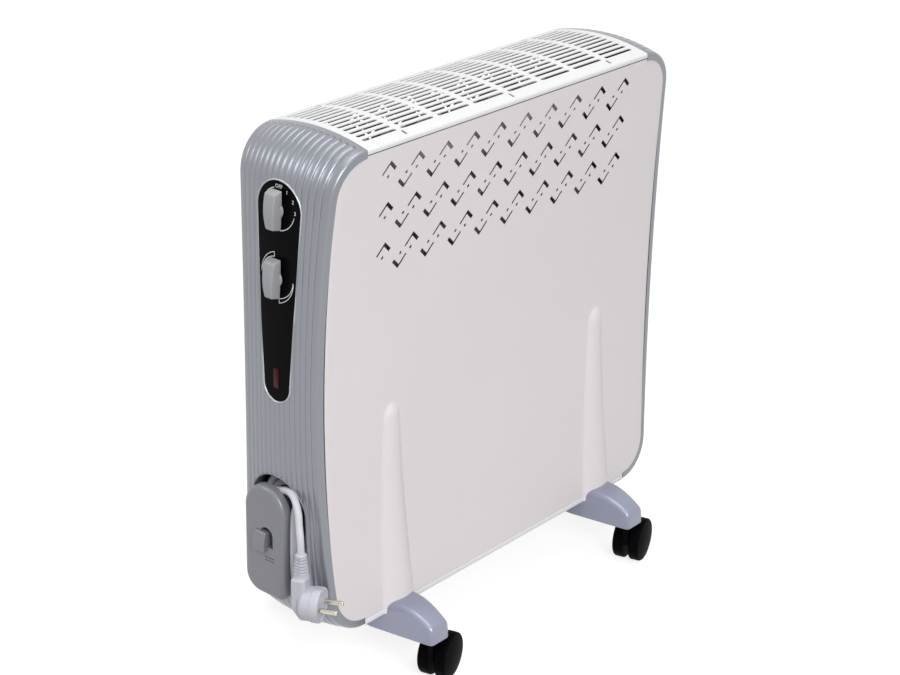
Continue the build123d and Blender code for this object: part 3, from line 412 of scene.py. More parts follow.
# copy of a CAD node with its loose triangles joined and its edges eased
def easedCopy(node, name, finish, width):
    mesh = nodes[node].data.copy()
    mesh.name = name
    work = bmesh.new()
    work.from_mesh(mesh)
    bmesh.ops.remove_doubles(work, verts=work.verts, dist=2e-6)
    bmesh.ops.dissolve_limit(work, angle_limit=radians(2), verts=work.verts, edges=work.edges)
    work.to_mesh(mesh)
    work.free()
    if "custom_normal" in mesh.attributes:
        mesh.attributes.remove(mesh.attributes["custom_normal"])
    piece = newPiece(name, mesh, finish)
    if width:
        bevel(piece, width)
        settle(piece)
    tidyMesh(piece.data, 40)
    return piece


def newTree(name, inputs):
    tree = bpy.data.node_groups.new(name, "GeometryNodeTree")
    for label, kind in [("Geometry", "Geometry")] + inputs:
        tree.interface.new_socket(name=label, in_out="INPUT", socket_type="NodeSocket" + kind)
    tree.interface.new_socket(name="Geometry", in_out="OUTPUT", socket_type="NodeSocketGeometry")
    return tree, tree.nodes.new("NodeGroupInput").outputs


# every tree ends with real geometry and its finish, with painted shade on a selection where one is given
def endTree(tree, given, geometry, shadeSelection=None):
    out = tree.nodes.new("NodeGroupOutput")
    real = addNode(tree, "GeometryNodeRealizeInstances", [("Geometry", geometry)])
    painted = addNode(tree, "GeometryNodeSetMaterial", [
        ("Geometry", real.outputs["Geometry"]), ("Material", given["Material"])])
    if shadeSelection:
        painted = addNode(tree, "GeometryNodeSetMaterial", [
            ("Geometry", painted.outputs["Geometry"]), ("Selection", shadeSelection),
            ("Material", given["Painted Shade Material"])])
    tree.links.new(painted.outputs["Geometry"], out.inputs["Geometry"])
    return tree


def runTree(piece, tree, values):
    work = piece.modifiers.new(tree.name, "NODES")
    work.node_group = tree
    known = {item.name: item.identifier for item in tree.interface.items_tree if item.in_out == "INPUT"}
    for label, value in values.items():
        work[known[label]] = value


# cuts a field of holes: a grid of points, a cutter on each, taken out of the sheet
def makeHoleTree():
    tree, given = newTree("holeField", [
        ("Cutter", "Object"), ("Columns", "Int"), ("Rows", "Int"), ("Column Pitch", "Float"),
        ("Row Pitch", "Float"), ("Centre", "Vector"), ("Field Turn", "Vector"), ("Cutter Turn", "Vector"),
        ("Material", "Material")])
    sizes = [calc(tree, "MULTIPLY", calc(tree, "SUBTRACT", given[count], 1.0), given[pitch])
             for count, pitch in (("Columns", "Column Pitch"), ("Rows", "Row Pitch"))]
    field = addNode(tree, "GeometryNodeMeshGrid", [
        ("Size X", sizes[0]), ("Size Y", sizes[1]), ("Vertices X", given["Columns"]),
        ("Vertices Y", given["Rows"])])
    laid = addNode(tree, "GeometryNodeTransform", [
        ("Geometry", field.outputs["Mesh"]), ("Translation", given["Centre"]),
        ("Rotation", given["Field Turn"])])
    shape = addNode(tree, "GeometryNodeObjectInfo", [("Object", given["Cutter"])])
    copies = addNode(tree, "GeometryNodeInstanceOnPoints", [
        ("Points", laid.outputs["Geometry"]), ("Instance", shape.outputs["Geometry"]),
        ("Rotation", given["Cutter Turn"])])
    real = addNode(tree, "GeometryNodeRealizeInstances", [("Geometry", copies.outputs["Instances"])])
    holes = addNode(tree, "GeometryNodeMeshBoolean", operation="DIFFERENCE", solver="EXACT")
    tree.links.new(given["Geometry"], holes.inputs["Mesh 1"])
    tree.links.new(real.outputs["Geometry"], holes.inputs["Mesh 2"])
    return endTree(tree, given, holes.outputs["Mesh"])


# presses flutes into a surface, by its own flute number, fade and stops stored on the points, and paints
# shade on the sunk stops
def makeFluteTree():
    tree, given = newTree("fluteSurface", [
        ("Depth", "Float"), ("Width", "Float"), ("Ridge", "Float"), ("Stop Depth", "Float"),
        ("Material", "Material"), ("Painted Shade Material", "Material")])
    stored = []
    for name in ("flute", "fade", "stop"):
        layer = addNode(tree, "GeometryNodeInputNamedAttribute", [("Name", name)], data_type="FLOAT")
        stored.append(layer.outputs["Attribute"])
    number, fade, stop = stored
    away = calc(tree, "ABSOLUTE", calc(tree, "SUBTRACT", calc(tree, "FRACT", number), 0.5))
    square = calc(tree, "POWER", calc(tree, "DIVIDE", away, given["Width"]), 2.0)
    bell = calc(tree, "EXPONENT", calc(tree, "MULTIPLY", square, -1.0))
    pressed = calc(tree, "MULTIPLY", bell, given["Depth"])
    bowed = calc(tree, "POWER", calc(tree, "MULTIPLY_ADD", away, -2.0, 1.0), 2.0)
    total = calc(tree, "MULTIPLY_ADD", bowed, given["Ridge"], pressed)
    sunk = calc(tree, "MULTIPLY_ADD", stop, given["Stop Depth"], calc(tree, "MULTIPLY", total, fade))
    inward = calc(tree, "MULTIPLY", sunk, -1.0)
    facing = addNode(tree, "GeometryNodeInputNormal")
    shift = addNode(tree, "ShaderNodeVectorMath", [
        (0, facing.outputs["Normal"]), ("Scale", inward)], operation="SCALE")
    moved = addNode(tree, "GeometryNodeSetPosition", [
        ("Geometry", given["Geometry"]), ("Offset", shift.outputs["Vector"])])
    return endTree(tree, given, moved.outputs["Geometry"], calc(tree, "GREATER_THAN", stop, 0.6))


# sets copies of one shape along a straight line, growing from first to last
def makeRowTree():
    tree, given = newTree("rowOfShapes", [
        ("Shape", "Object"), ("Count", "Int"), ("Start", "Vector"), ("Step", "Vector"),
        ("First Size", "Float"), ("Last Size", "Float"), ("Turn", "Vector"), ("Material", "Material")])
    line = addNode(tree, "GeometryNodeMeshLine", [
        ("Count", given["Count"]), ("Start Location", given["Start"]), ("Offset", given["Step"])],
        mode="OFFSET")
    order = addNode(tree, "GeometryNodeInputIndex")
    size = addNode(tree, "ShaderNodeMapRange", [
        ("Value", order.outputs["Index"]), ("From Min", 0.0),
        ("From Max", calc(tree, "SUBTRACT", given["Count"], 1.0)),
        ("To Min", given["First Size"]), ("To Max", given["Last Size"])])
    shape = addNode(tree, "GeometryNodeObjectInfo", [("Object", given["Shape"])])
    copies = addNode(tree, "GeometryNodeInstanceOnPoints", [
        ("Points", line.outputs["Mesh"]), ("Instance", shape.outputs["Geometry"]),
        ("Rotation", given["Turn"]), ("Scale", size.outputs["Result"])])
    both = addNode(tree, "GeometryNodeJoinGeometry")
    tree.links.new(copies.outputs["Instances"], both.inputs[0])
    tree.links.new(given["Geometry"], both.inputs[0])
    return endTree(tree, given, both.outputs["Geometry"])


holeTree = makeHoleTree()
fluteTree = makeFluteTree()
rowTree = makeRowTree()
print("node trees ready")


def punch(piece, cutter, counts, pitches, centre, finish, fieldTurn=(0, 0, 0), cutterTurn=(0, 0, 0)):
    runTree(piece, holeTree, {
        "Cutter": cutter, "Columns": counts[0], "Rows": counts[1],
        "Column Pitch": pitches[0] / 1000, "Row Pitch": pitches[1] / 1000, "Centre": place(*centre),
        "Field Turn": fieldTurn, "Cutter Turn": cutterTurn, "Material": finishes[finish]})


cameraSettings = {
    "lens": 87.383, "sensor": 36, "clipEnd": 50, "spot": (-1634.2, -1378.3, 1258.5),
    "right": (0.65606, -0.75444, 0.02045), "up": (0.29567, 0.28186, 0.91276),
    "back": (-0.69438, -0.59278, 0.40798),
}
eyeData = bpy.data.cameras.new("camera")
eyeData.lens = cameraSettings["lens"]
eyeData.sensor_width = cameraSettings["sensor"]
eyeData.clip_end = cameraSettings["clipEnd"]
eye = bpy.data.objects.new("camera", eyeData)
scene.collection.objects.link(eye)
axes = [cameraSettings[key] for key in ("right", "up", "back")]
eyeMatrix = Matrix([[axis[row] for axis in axes] for row in range(3)]).to_4x4()
eyeMatrix.translation = place(*cameraSettings["spot"])
eye.matrix_world = eyeMatrix
scene.camera = eye

stageSettings = {
    "floorHalf": 30, "floorGlow": 0.78, "floorTone": 0.36, "skyLight": 0.55, "skySeen": 1.0,
    "aim": (0, 0, 0.32),
}


# 1 for rays that see the stage, 0 for rays that only light the object
def seenRays(tree):
    rays = addNode(tree, "ShaderNodeLightPath").outputs
    direct = calc(tree, "MAXIMUM", rays["Is Camera Ray"], rays["Is Glossy Ray"])
    return calc(tree, "MAXIMUM", direct, rays["Is Transmission Ray"])


def makeFloor():
    s = stageSettings
    half, tone = s["floorHalf"], s["floorTone"]
    mesh = bpy.data.meshes.new("floor")
    corners = [(-half, -half, 0), (half, -half, 0), (half, half, 0), (-half, half, 0)]
    mesh.from_pydata(corners, [], [(0, 1, 2, 3)])
    piece = bpy.data.objects.new("floor", mesh)
    scene.collection.objects.link(piece)
    finish = bpy.data.materials.new("floorWhite")
    finish.use_nodes = True
    tree = finish.node_tree
    tree.nodes.clear()
    strength = calc(tree, "MULTIPLY", seenRays(tree), s["floorGlow"])
    glow = addNode(tree, "ShaderNodeEmission", [("Color", (1, 1, 1, 1)), ("Strength", strength)])
    matt = addNode(tree, "ShaderNodeBsdfDiffuse", [("Color", (tone, tone, tone, 1))])
    both = addNode(tree, "ShaderNodeAddShader", [(0, glow.outputs[0]), (1, matt.outputs[0])])
    addNode(tree, "ShaderNodeOutputMaterial", [("Surface", both.outputs[0])])
    mesh.materials.append(finish)
    return piece


def makeWorld():
    s = stageSettings
    world = bpy.data.worlds.new("studio")
    scene.world = world
    world.use_nodes = True
    tree = world.node_tree
    tree.nodes.clear()
    level = addNode(tree, "ShaderNodeMapRange", [
        ("Value", seenRays(tree)), ("To Min", s["skyLight"]), ("To Max", s["skySeen"])])
    sky = addNode(tree, "ShaderNodeBackground", [
        ("Color", (1, 1, 1, 1)), ("Strength", level.outputs["Result"])])
    addNode(tree, "ShaderNodeOutputWorld", [("Surface", sky.outputs[0])])


makeFloor()
makeWorld()

lamps = {
    "keyLamp": {"spot": (-1.5, -2.25, 1.9), "size": 1.2, "power": 58.0},
    "topLamp": {"spot": (0.05, -0.3, 2.8), "size": 1.5, "power": 23.0},
    "sideLamp": {"spot": (-1.85, 1.5, 1.85), "size": 0.6, "power": 13.0},
}
for name, lamp in lamps.items():
    data = bpy.data.lights.new(name, "AREA")
    data.shape = "RECTANGLE"
    data.size = lamp["size"]
    data.size_y = lamp["size"]
    data.energy = lamp["power"]
    light = bpy.data.objects.new(name, data)
    scene.collection.objects.link(light)
    light.location = lamp["spot"]
    aim = Vector(stageSettings["aim"]) - Vector(lamp["spot"])
    light.rotation_euler = aim.to_track_quat("-Z", "Y").to_euler()
scene.view_settings.view_transform = "Standard"
print("camera and light ready")

cordSettings = {
    "diameter": 7.5, "length": 1.331, "backX": -258.0, "frontX": -266.1, "top": 203.0, "bottom": 138.0,
    "glandY": 34.0, "glandTop": 128.0, "riseTop": 142.0,
    "runs": (34.0, -30.0, 26.0, -22.0, 16.5, -16.5, 22.0, -26.0, 30.0),
    "cornerAngle": 30, "climb": 4, "crestY": -2.0, "crestReach": 11.0, "relief": 178.7,
    "strand": (
        (-278.5, -19.0, 233.0), (-286.5, -36.0, 221.0), (-289.5, -40.0, 205.0), (-293.5, -46.1, 191.5)),
    "moves": {  # points led to where the photo shows the strands
        (6, 0): (0, 0, -2), (6, 1): (0, 0, -6), (6, 2): (0, 0, -8), (6, 3): (0, 0, -8), (6, 4): (-4, 1, -6),
        (6, 5): (-14, 3.4, -2), (7, 0): (-14, 3.4, 0), (7, 1): (-4, 0, 0),
        (8, 0): (-3, 0, 0), (8, 1): (-6, 0, -8), (8, 2): (1.2, 0, -12.5)},
}


# route of the cord: corners that close round each turn, then over the plate and down to the plug
def cordRoute():
    c = cordSettings
    route = [(c["backX"], c["glandY"], c["glandTop"]), (c["backX"], c["glandY"], c["riseTop"])]
    corners = 180 // c["cornerAngle"]
    spread = cos(radians(c["cornerAngle"] / 2))
    way = 1  # up, then down
    for index, start in enumerate(c["runs"]):
        last = index + 1 == len(c["runs"])
        finish = 2 * c["crestY"] - start if last else c["runs"][index + 1]
        radius = abs(start - finish) / 2
        side = 1 if start > finish else -1
        height = c["top"] if way > 0 else c["bottom"]
        for step in range(corners // 2 if last else corners):
            angle = radians(c["cornerAngle"] * (step + 0.5))
            x = c["backX"] if index <= c["climb"] else c["frontX"]
            if index == c["climb"]:
                x += (c["frontX"] - c["backX"]) * (step + 0.5) / corners
            y = (start + finish) / 2 + side * radius * cos(angle) / spread
            z = height + way * radius * sin(angle) / spread
            if last:
                x -= c["crestReach"] * (start - y) / radius
            dx, dy, dz = c["moves"].get((index, step), (0, 0, 0))
            route.append((x + dx, y + dy, z + dz))
        way = -way
    route += c["strand"]
    route.append((*c["strand"][-1][:2], c["relief"]))
    return [place(*point) for point in route]


def makeCord():
    route = cordRoute()
    data = bpy.data.curves.new("mainsCord", "CURVE")
    data.dimensions = "3D"
    line = data.splines.new("NURBS")
    line.points.add(len(route) - 1)
    for point, spot in zip(line.points, route):
        point.co = (*spot, 1)
    line.order_u = 3
    line.use_endpoint_u = True
    line.resolution_u = 6
    data.bevel_depth = cordSettings["diameter"] / 2000
    data.bevel_resolution = 5
    data.use_fill_caps = True
    data.materials.append(finishes["cordWhite"])
    piece = bpy.data.objects.new("mainsCord", data)
    scene.collection.objects.link(piece)
    return piece


cordPiece = join("casing", "cord_white", makeCord(), "mains_cord")

plugSettings = {
    "spot": (-293.5, -46.1, 123.5), "turn": 24.0, "faceStart": 2.4, "faceEnd": 22.6, "faceRadius": 18.5,
    "halfWidth": 9.5, "back": 8.2, "top": 29.7, "low": -16.8, "heelRise": 12.5, "heelLength": 9.5,
    "lean": 1.5, "bevel": 2.8, "notchLength": 13.0, "notchSides": (16.0, 24.0), "notchHalf": 3.0,
    "middle": 0.01,
}
plugTurn = radians(plugSettings["turn"] - 90)


def plugPlace(x, y, z):
    px, py, pz = plugSettings["spot"]
    return (px + x * cos(plugTurn) - y * sin(plugTurn), py + x * sin(plugTurn) + y * cos(plugTurn), pz + z)


def plugSide(along, rise, across):
    return plugPlace(along, across, rise)


# elbow behind the face, cut back at its lower heel
def makePlug():
    p = plugSettings
    back, low, start, end, radius = [p[key] for key in ("back", "low", "faceStart", "faceEnd", "faceRadius")]
    elbow = [(-back, p["top"]), (back - p["lean"], p["top"]), (back, low), (p["heelLength"] - back, low),
             (-back, low + p["heelRise"])]
    body = prism("plugBody", elbow, -p["halfWidth"], p["halfWidth"], plugSide, "plugWhite", 30)
    bevel(body, p["bevel"], 4, 20)
    settle(body)
    profile = [
        (start - 2, p["middle"]), (start - 2, 13.5), (start, 16.0), (start + 2, 17.4),
        (end - 9.0, radius - 0.5), (end - 8.4, radius), (end - 1.2, radius), (end - 0.3, radius - 0.4),
        (end, radius - 1.3), (end, 15.2), (end - 0.7, 14.6), (end - 0.7, p["middle"])]
    face = revolve("plugFace", profile, 72, plugPlace, "plugWhite", 30, 2e-5)
    for side in (-1, 1):
        inner, outer = [side * reach for reach in p["notchSides"]]
        first = end - p["notchLength"]
        notch = [(first, inner), (end + 3, inner), (end + 3, outer), (first, outer)]
        cut(face, prism("notch", notch, -p["notchHalf"], p["notchHalf"], plugSide, "plugWhite"))
    tidyMesh(face.data, 30)
    return body, face


plugBody, plugFace = makePlug()
join("casing", "cord_white", plugBody, "plug_body")
join("casing", "cord_white", plugFace, "plug_body")

reliefSettings = {
    "top": 178.7, "length": 25.5, "tip": 6.2, "foot": 7.75, "ribs": 6, "arcs": 4, "arcAngle": 72,
    "arcSteps": 9, "ribHalf": 1.15, "ribEase": 0.3, "firstRib": 4.0, "spare": 5.5,
}


# tapered sleeve with rows of short ribs round it
def makeRelief():
    r = reliefSettings
    x, y = plugSettings["spot"][:2]
    tip, foot, length, half, ease = [r[key] for key in ("tip", "foot", "length", "ribHalf", "ribEase")]
    profile = [(0.0, 4.2), (0.5, tip - 0.9), (1.5, tip - 0.2), (4.0, tip - 1.3), (length - 4.0, foot - 1.3),
               (length + 1.5, foot + 0.3)]
    sleeve = revolve(
        "plugRelief", profile, 40, lambda along, a, b: (x + a, y + b, r["top"] - along), "plugWhite", 50)
    section = [(tip - 2, -half), (tip - ease, -half), (tip, ease - half)]
    section += [(radius, -rise) for radius, rise in reversed(section)]
    points = []
    faces = []
    for turn in range(r["arcs"]):
        faces += shifted(len(points), ringFaces(r["arcSteps"], len(section)))
        for step in range(r["arcSteps"]):
            share = step / (r["arcSteps"] - 1) - 0.5
            angle = pi / 2 * turn + pi / 4 + share * radians(r["arcAngle"])
            points += [(radius * cos(angle), radius * sin(angle), rise) for radius, rise in section]
    rib = makeShape("reliefRib", points, faces, "plugWhite", 40)
    spacing = (length - r["spare"]) / r["ribs"]
    runTree(sleeve, rowTree, {
        "Shape": rib, "Count": r["ribs"], "Start": place(x, y, r["top"] - r["firstRib"]),
        "Step": (0, 0, -spacing / 1000), "First Size": 1.0, "Last Size": foot / tip, "Turn": (0, 0, plugTurn),
        "Material": finishes["plugWhite"]})
    settle(sleeve)
    bpy.data.objects.remove(rib)
    tidyMesh(sleeve.data, 40)
    return sleeve


reliefPiece = join("casing", "cord_white", makeRelief(), "plug_strain_relief")
pinPiece = join("casing", "pin_metal", easedCopy("plug_pins", "plugPins", "pinMetal", 0), "plug_pins")
join("casing", "cord_white", easedCopy("cord_gland", "cordGland", "cordWhite", 0.3), "cord_gland")
print("cord and plug ready")

panelSettings = {
    "thickness": 0.6, "bevel": 0.22, "flatHalf": 212.0, "gridStep": 6.4, "ribStep": 1.25, "ribSide": 30.0,
    "ribX": 168.0, "ribTop": 301.0, "topWidth": 10.5, "footWidth": 23.5, "topRelief": 4.2, "footRelief": 10.2,
    "ease": 0.8, "roundness": 1.35, "fineBand": (272, 310), "fineStep": 2.2, "heightStep": 5.5,
    "cornerSteps": 14, "cornerShare": 0.98, "edgeShares": (0.35, 0.65, 0.85, 1.0),
    "columns": 10, "rows": 3, "pitch": 41.0, "rowPitch": 42.6, "topDrop": 19.0, "rowHeight": 34.0,
    "ventY": 60.0,
    "longLeg": 17.0, "shortLeg": 12.5, "thin": 2.5, "thick": 4.0,
    "dashLength": 3.2, "dashWidth": 2.9, "dashDrop": 16.0, "dashShift": 3.0, "cutterHalf": 30.0,
}


# how far a tapered rib stands proud of the sheet
def ribRelief(x, z):
    p = panelSettings
    share = min(1, max(0, (p["ribTop"] - z) / (p["ribTop"] - casing["bottom"])))
    width = between(p["topWidth"], p["footWidth"], share)
    relief = between(p["topRelief"], p["footRelief"], share)
    radius = (width**2 + relief**2) / (2 * relief)
    away = abs(abs(x) - p["ribX"])
    rounded = p["ribTop"] - p["roundness"] * p["topWidth"]
    if z > rounded:
        away = hypot(away, (z - rounded) / p["roundness"])
    rise = sqrt(max(0, radius**2 - away**2)) - (radius - relief)
    rise = min(rise, relief) if away < radius else relief - radius - (away - radius)
    return (rise + sqrt(rise * rise + p["ease"]**2)) / 2


def panelMesh(name, side):
    p = panelSettings
    inset = casing["panelInset"]
    flat, ribX, steps = p["flatHalf"], p["ribX"], p["cornerSteps"]
    wide = int(flat / p["gridStep"])
    fine = int(p["ribSide"] / p["ribStep"])
    across = {flat, -flat, 0.0} | {p["gridStep"] * step for step in range(-wide, wide + 1)}
    across = {x for x in across if abs(abs(x) - ribX) > p["ribSide"]}
    across |= {way * ribX + step * p["ribStep"] for step in range(-fine, fine + 1) for way in (-1, 1)}
    inner = sorted(x for x in across if abs(x) <= flat)
    corner = casing["corner"] - inset
    angles = [pi / 2 * step / steps * p["cornerShare"] for step in range(steps + 1)]
    heights = [middle - straight - corner * cos(angle) for angle in angles]
    z = heights[-1]
    while z < middle + straight:
        z += p["fineStep"] if p["fineBand"][0] < z < p["fineBand"][1] else p["heightStep"]
        heights.append(min(z, middle + straight + 0.5))
    heights += [2 * middle - height for height in heights[:steps]]
    heights = sorted(set(round(height, 4) for height in heights))
    points = []
    for z in heights:
        outer = [between(flat, outlineX(z, inset), share) for share in p["edgeShares"]]
        for x in [-v for v in reversed(outer)] + inner + outer:
            points.append((x, side * (depthAt(z) + ribRelief(x, z)), z))
    faces = gridFaces(len(heights), len(inner) + 2 * len(p["edgeShares"]))
    return meshFrom(name, points, [face[::-side] for face in faces])


# painted shade: a dark grey on the faces that look into the casing
def darkenInside(mesh, hidden):
    mesh.materials.append(finishes["paintedShadeGrey"])
    for face in mesh.polygons:
        if hidden(face):
            face.material_index = len(mesh.materials) - 1


# a bent slot with a short dash under it
def ventCutter():
    p = panelSettings
    lean = sqrt(0.5)
    short, long, thin, thick = [p[key] for key in ("shortLeg", "longLeg", "thin", "thick")]
    bent = [(0, 0), (short, -short), (short - thick, -short - thick), (thin - thick, -thin - thick),
            (thin - long, -thin - long), (-long, -long)]
    bent = [(x * lean, z * lean) for x, z in bent]
    a, b = p["dashLength"] / 2, p["dashWidth"] / 2
    dash = [((u - v) * lean - p["dashShift"], (u + v) * lean - p["dashDrop"])
            for u, v in ((-a, -b), (a, -b), (a, b), (-a, b))]
    points = []
    faces = []
    for outline in (bent, dash):
        faces += shifted(len(points), ringFaces(2, len(outline)))
        points += [(x, y, z) for y in (-p["cutterHalf"], p["cutterHalf"]) for x, z in outline]
    return makeShape("ventCutter", points, faces, "panelPaint")


def makePanel(name, side):
    p = panelSettings
    sheet = newPiece(name, tidyMesh(panelMesh(name, side), 60), "panelPaint")
    faceTo(sheet.data, Vector((0, side, 0)))
    solidify(sheet, p["thickness"])
    bevel(sheet, p["bevel"], 2, 50)
    settle(sheet)
    cutter = ventCutter()
    outward = 0 if side < 0 else pi
    middleRow = top - p["topDrop"] - (p["rows"] - 1) / 2 * p["rowPitch"]
    fields = ((p["columns"], middleRow, 0), (p["columns"] - 1, middleRow - p["rowHeight"], pi))
    for columns, z, turned in fields:
        punch(sheet, cutter, (columns, p["rows"]), (p["pitch"], p["rowPitch"]), (0, side * p["ventY"], z),
              "panelPaint", (pi / 2, 0, 0), (0, turned, outward))
    settle(sheet)
    bpy.data.objects.remove(cutter)
    tidyMesh(sheet.data, 35)
    # painted shade on the inner faces, so that the vents look dark
    darkenInside(sheet.data, lambda face: face.normal.y * side < -0.3)
    return sheet


join("casing", "panel_paint", makePanel("frontPanel", -1), "front_panel")
join("casing", "panel_paint", makePanel("rearPanel", 1), "rear_panel")
print("panels ready")

grilleSettings = {
    "thickness": 1.1, "skirt": 4.7, "edge": 2.4, "groups": 8, "across": 13, "pitch": 8.2, "slotWidth": 4.2,
    "groupRib": 7.0, "lipIn": 1.9, "lipDrop": 8.0, "lipLean": 1.0, "lipWall": 0.8, "endMargin": 6.0,
    "fixings": (3, 2), "fixingLength": 7.4, "fixingWidth": 3.2, "fixingInset": 8.3, "cutterHalf": 20.0,
    "fieldRise": 4.0, "stations": 45, "sideLean": 0.3, "sideDrop": 0.6, "easeLoss": 0.8, "edgeSteps": 5,
    "crownSteps": 40,
}


def grilleProfile(inset):
    g = grilleSettings
    half = casing["halfDepth"] - inset
    ease = g["edge"] - inset * g["easeLoss"]
    inner = half - ease
    rise = ease + crownAt(inner) - inset
    line = [(-half + g["sideLean"], top - g["skirt"] + inset), (-half, top - ease - g["sideDrop"])]
    for step in range(1, g["edgeSteps"]):
        angle = pi / 2 * step / g["edgeSteps"]
        line.append((-half + ease * (1 - cos(angle)), top - ease + rise * sin(angle)))
    side = list(line)
    for step in range(g["crownSteps"] + 1):
        y = -inner + 2 * inner * step / g["crownSteps"]
        line.append((y, top + crownAt(y) - inset))
    return line + [(-y, z) for y, z in reversed(side)]


def slotCutter(outline):
    deep = grilleSettings["cutterHalf"]
    points = [(x, y, z) for z in (-deep, deep) for x, y in outline]
    return makeShape("slotCutter", points, ringFaces(2, len(outline)), "grillePaint")


# crowned sheet with a hidden lip behind each panel's edge, so that no light shows through the seam
def makeGrille():
    g = grilleSettings
    half = casing["halfDepth"] - g["lipIn"]
    low = top - g["skirt"]
    lip = [(half, low), (half - g["lipLean"], low - g["lipDrop"]),
           (half - g["lipLean"] - g["lipWall"], low - g["lipDrop"]),
           (half - g["lipWall"], low + g["thickness"])]
    section = grilleProfile(0) + lip + grilleProfile(g["thickness"])[::-1]
    section += [(-y, z) for y, z in reversed(lip)]
    length = casing["halfSeam"] - casing["seam"]
    points = []
    for step in range(g["stations"]):
        x = -length + 2 * length * step / (g["stations"] - 1)
        points += [(x, y, z) for y, z in section]
    piece = build("topGrille", points, ringFaces(g["stations"], len(section)), "grillePaint", 50)
    groupPitch = 2 * (casing["halfSeam"] - g["endMargin"]) / g["groups"]
    wide = g["slotWidth"] / 2
    slot = arc(wide, -pi / 2, pi, 8, ((groupPitch - g["groupRib"]) / 2 - wide, 0))
    slot += [(-x, -y) for x, y in slot]
    a, b = g["fixingWidth"] / 2, g["fixingLength"] / 2
    cutters = [slotCutter(slot), slotCutter([(-a, -b), (a, -b), (a, b), (-a, b)])]
    centre = (0, 0, top + g["fieldRise"])
    fixingPitch = 2 * (casing["halfDepth"] - g["fixingInset"])
    punch(piece, cutters[0], (g["groups"], g["across"]), (groupPitch, g["pitch"]), centre, "grillePaint")
    punch(piece, cutters[1], g["fixings"], (3 * groupPitch, fixingPitch), centre, "grillePaint")
    settle(piece)
    for cutter in cutters:
        bpy.data.objects.remove(cutter)
    tidyMesh(piece.data, 35)
    # painted shade on the underside and on the lip below the skirt, so that the slots and the seam under the
    # grille look dark
    darkenInside(piece.data, lambda face: face.normal.z < -0.3 or face.center.z < low / 1000)
    return piece


join("casing", "grille_paint", makeGrille(), "top_grille")
print("grille ready")

capSettings = {
    "wall": 2.4, "edge": 2.6, "sideBand": 8.0, "flutes": 14, "fluteSpan": 0.895, "fluteDepth": 0.45,
    "fluteWidth": 0.09, "ridge": 0.6, "fluteStart": 5.0, "fluteEnd": 9.0, "stopLength": 2.2, "stopDepth": 1.0,
    "shares": (0.08, 0.2, 0.3, 0.38, 0.44, 0.5, 0.56, 0.62, 0.7, 0.8, 0.92), "stopShare": (0.28, 0.72),
    "leave": (0.0, 2.0, 4.0, 4.5, 5.0, 5.5, 6.5, 7.0, 7.5, 9.0, 11.0), "cornerSteps": 26, "faceSteps": 56,
    "bandStep": 5.0, "edgeGap": 0.2, "edgeSteps": 4, "edgeShares": (0.93, 0.91), "fadeIn": (1, 7),
    "fadeOut": (-3, 3), "cutter": (-330, -242),
}


# points down the end of the casing: place, outward direction and distance from the top seam
def endPath():
    corner = casing["corner"]
    seam = casing["halfSeam"]
    steps, count = capSettings["cornerSteps"], capSettings["faceSteps"]
    tangentAngle = acos(tangentX)
    angles = [pi / 2 - distance / corner for distance in capSettings["leave"]]
    first = angles[-1]
    angles += [between(first, tangentAngle, k / steps) for k in range(1, steps + 1)]
    path = []
    for angle in angles:
        nx, nz = -cos(angle), sin(angle)
        distance = corner * (pi / 2 - angle)
        path.append((-seam + corner * nx, middle + straight + corner * nz, (nx, nz), distance))
    done = path[-1][3]
    rise = straight + corner * tangentZ
    for k in range(1, count):
        z = rise - 2 * rise * k / count
        nz = z / endRadius
        nx = -sqrt(1 - nz**2)
        path.append((endRadius * nx - endCentre, middle + endRadius * nz, (nx, nz), done + rise - z))
    done += 2 * rise
    for angle in reversed(angles):
        nx, nz = -cos(angle), -sin(angle)
        distance = done + corner * (angle - tangentAngle)
        path.append((-seam + corner * nx, middle - straight + corner * nz, (nx, nz), distance))
    return path


# rows of points across the end, each with its flute number, how strong the flute is and its stop
def capMesh(name):
    c = capSettings
    path = endPath()
    total = path[-1][3]
    flutes, span, edge = c["flutes"], c["fluteSpan"], c["edge"]
    samples = [0.0] + [k + share for k in range(flutes) for share in c["shares"]] + [float(flutes)]
    points = []
    layers = {"flute": [], "fade": [], "stop": []}
    for x, z, normal, distance in path:
        half = depthAt(min(top, max(casing["bottom"], z)))
        edgeRise = crownAt(half)
        drops = (c["sideBand"], c["bandStep"], edge + c["edgeGap"])
        side = [(-half, edgeRise - drop, 0.0, 0.0) for drop in drops]
        for step in range(1, c["edgeSteps"] + 1):
            angle = pi / 2 * step / c["edgeSteps"]
            y = -half + edge * (1 - cos(angle))
            rise = edgeRise - edge + edge * sin(angle) + (crownAt(y) - edgeRise) * step / c["edgeSteps"]
            side.append((y, rise, 0.0, 0.0))
        side += [(-share * half, crownAt(share * half), 0.0, 0.0) for share in c["edgeShares"]]
        fade = smoothStep(*c["fadeIn"], distance - c["fluteStart"])
        fade *= smoothStep(*c["fadeOut"], total - distance - c["fluteEnd"])
        row = list(side)
        for number in samples:
            y = (-span + 2 * span / flutes * number) * half
            inside = 0 < number < flutes
            row.append((y, crownAt(y), number if inside else 0.0, fade if inside else 0.0))
        row += [(-y, rise, 0.0, 0.0) for y, rise, a, b in reversed(side)]
        inStop = -0.1 < distance - c["fluteStart"] < c["stopLength"]
        for y, rise, number, strength in row:
            points.append((x + normal[0] * rise, y, max(casing["bottom"], z + normal[1] * rise)))
            layers["flute"].append(number)
            layers["fade"].append(strength)
            layers["stop"].append(float(inStop and c["stopShare"][0] < number % 1 < c["stopShare"][1]))
    mesh = bpy.data.meshes.new(name)
    mesh.from_pydata([place(*point) for point in points], [], gridFaces(len(path), len(points) // len(path)))
    for label, values in layers.items():
        mesh.attributes.new(label, "FLOAT", "POINT").data.foreach_set("value", values)
    return mesh


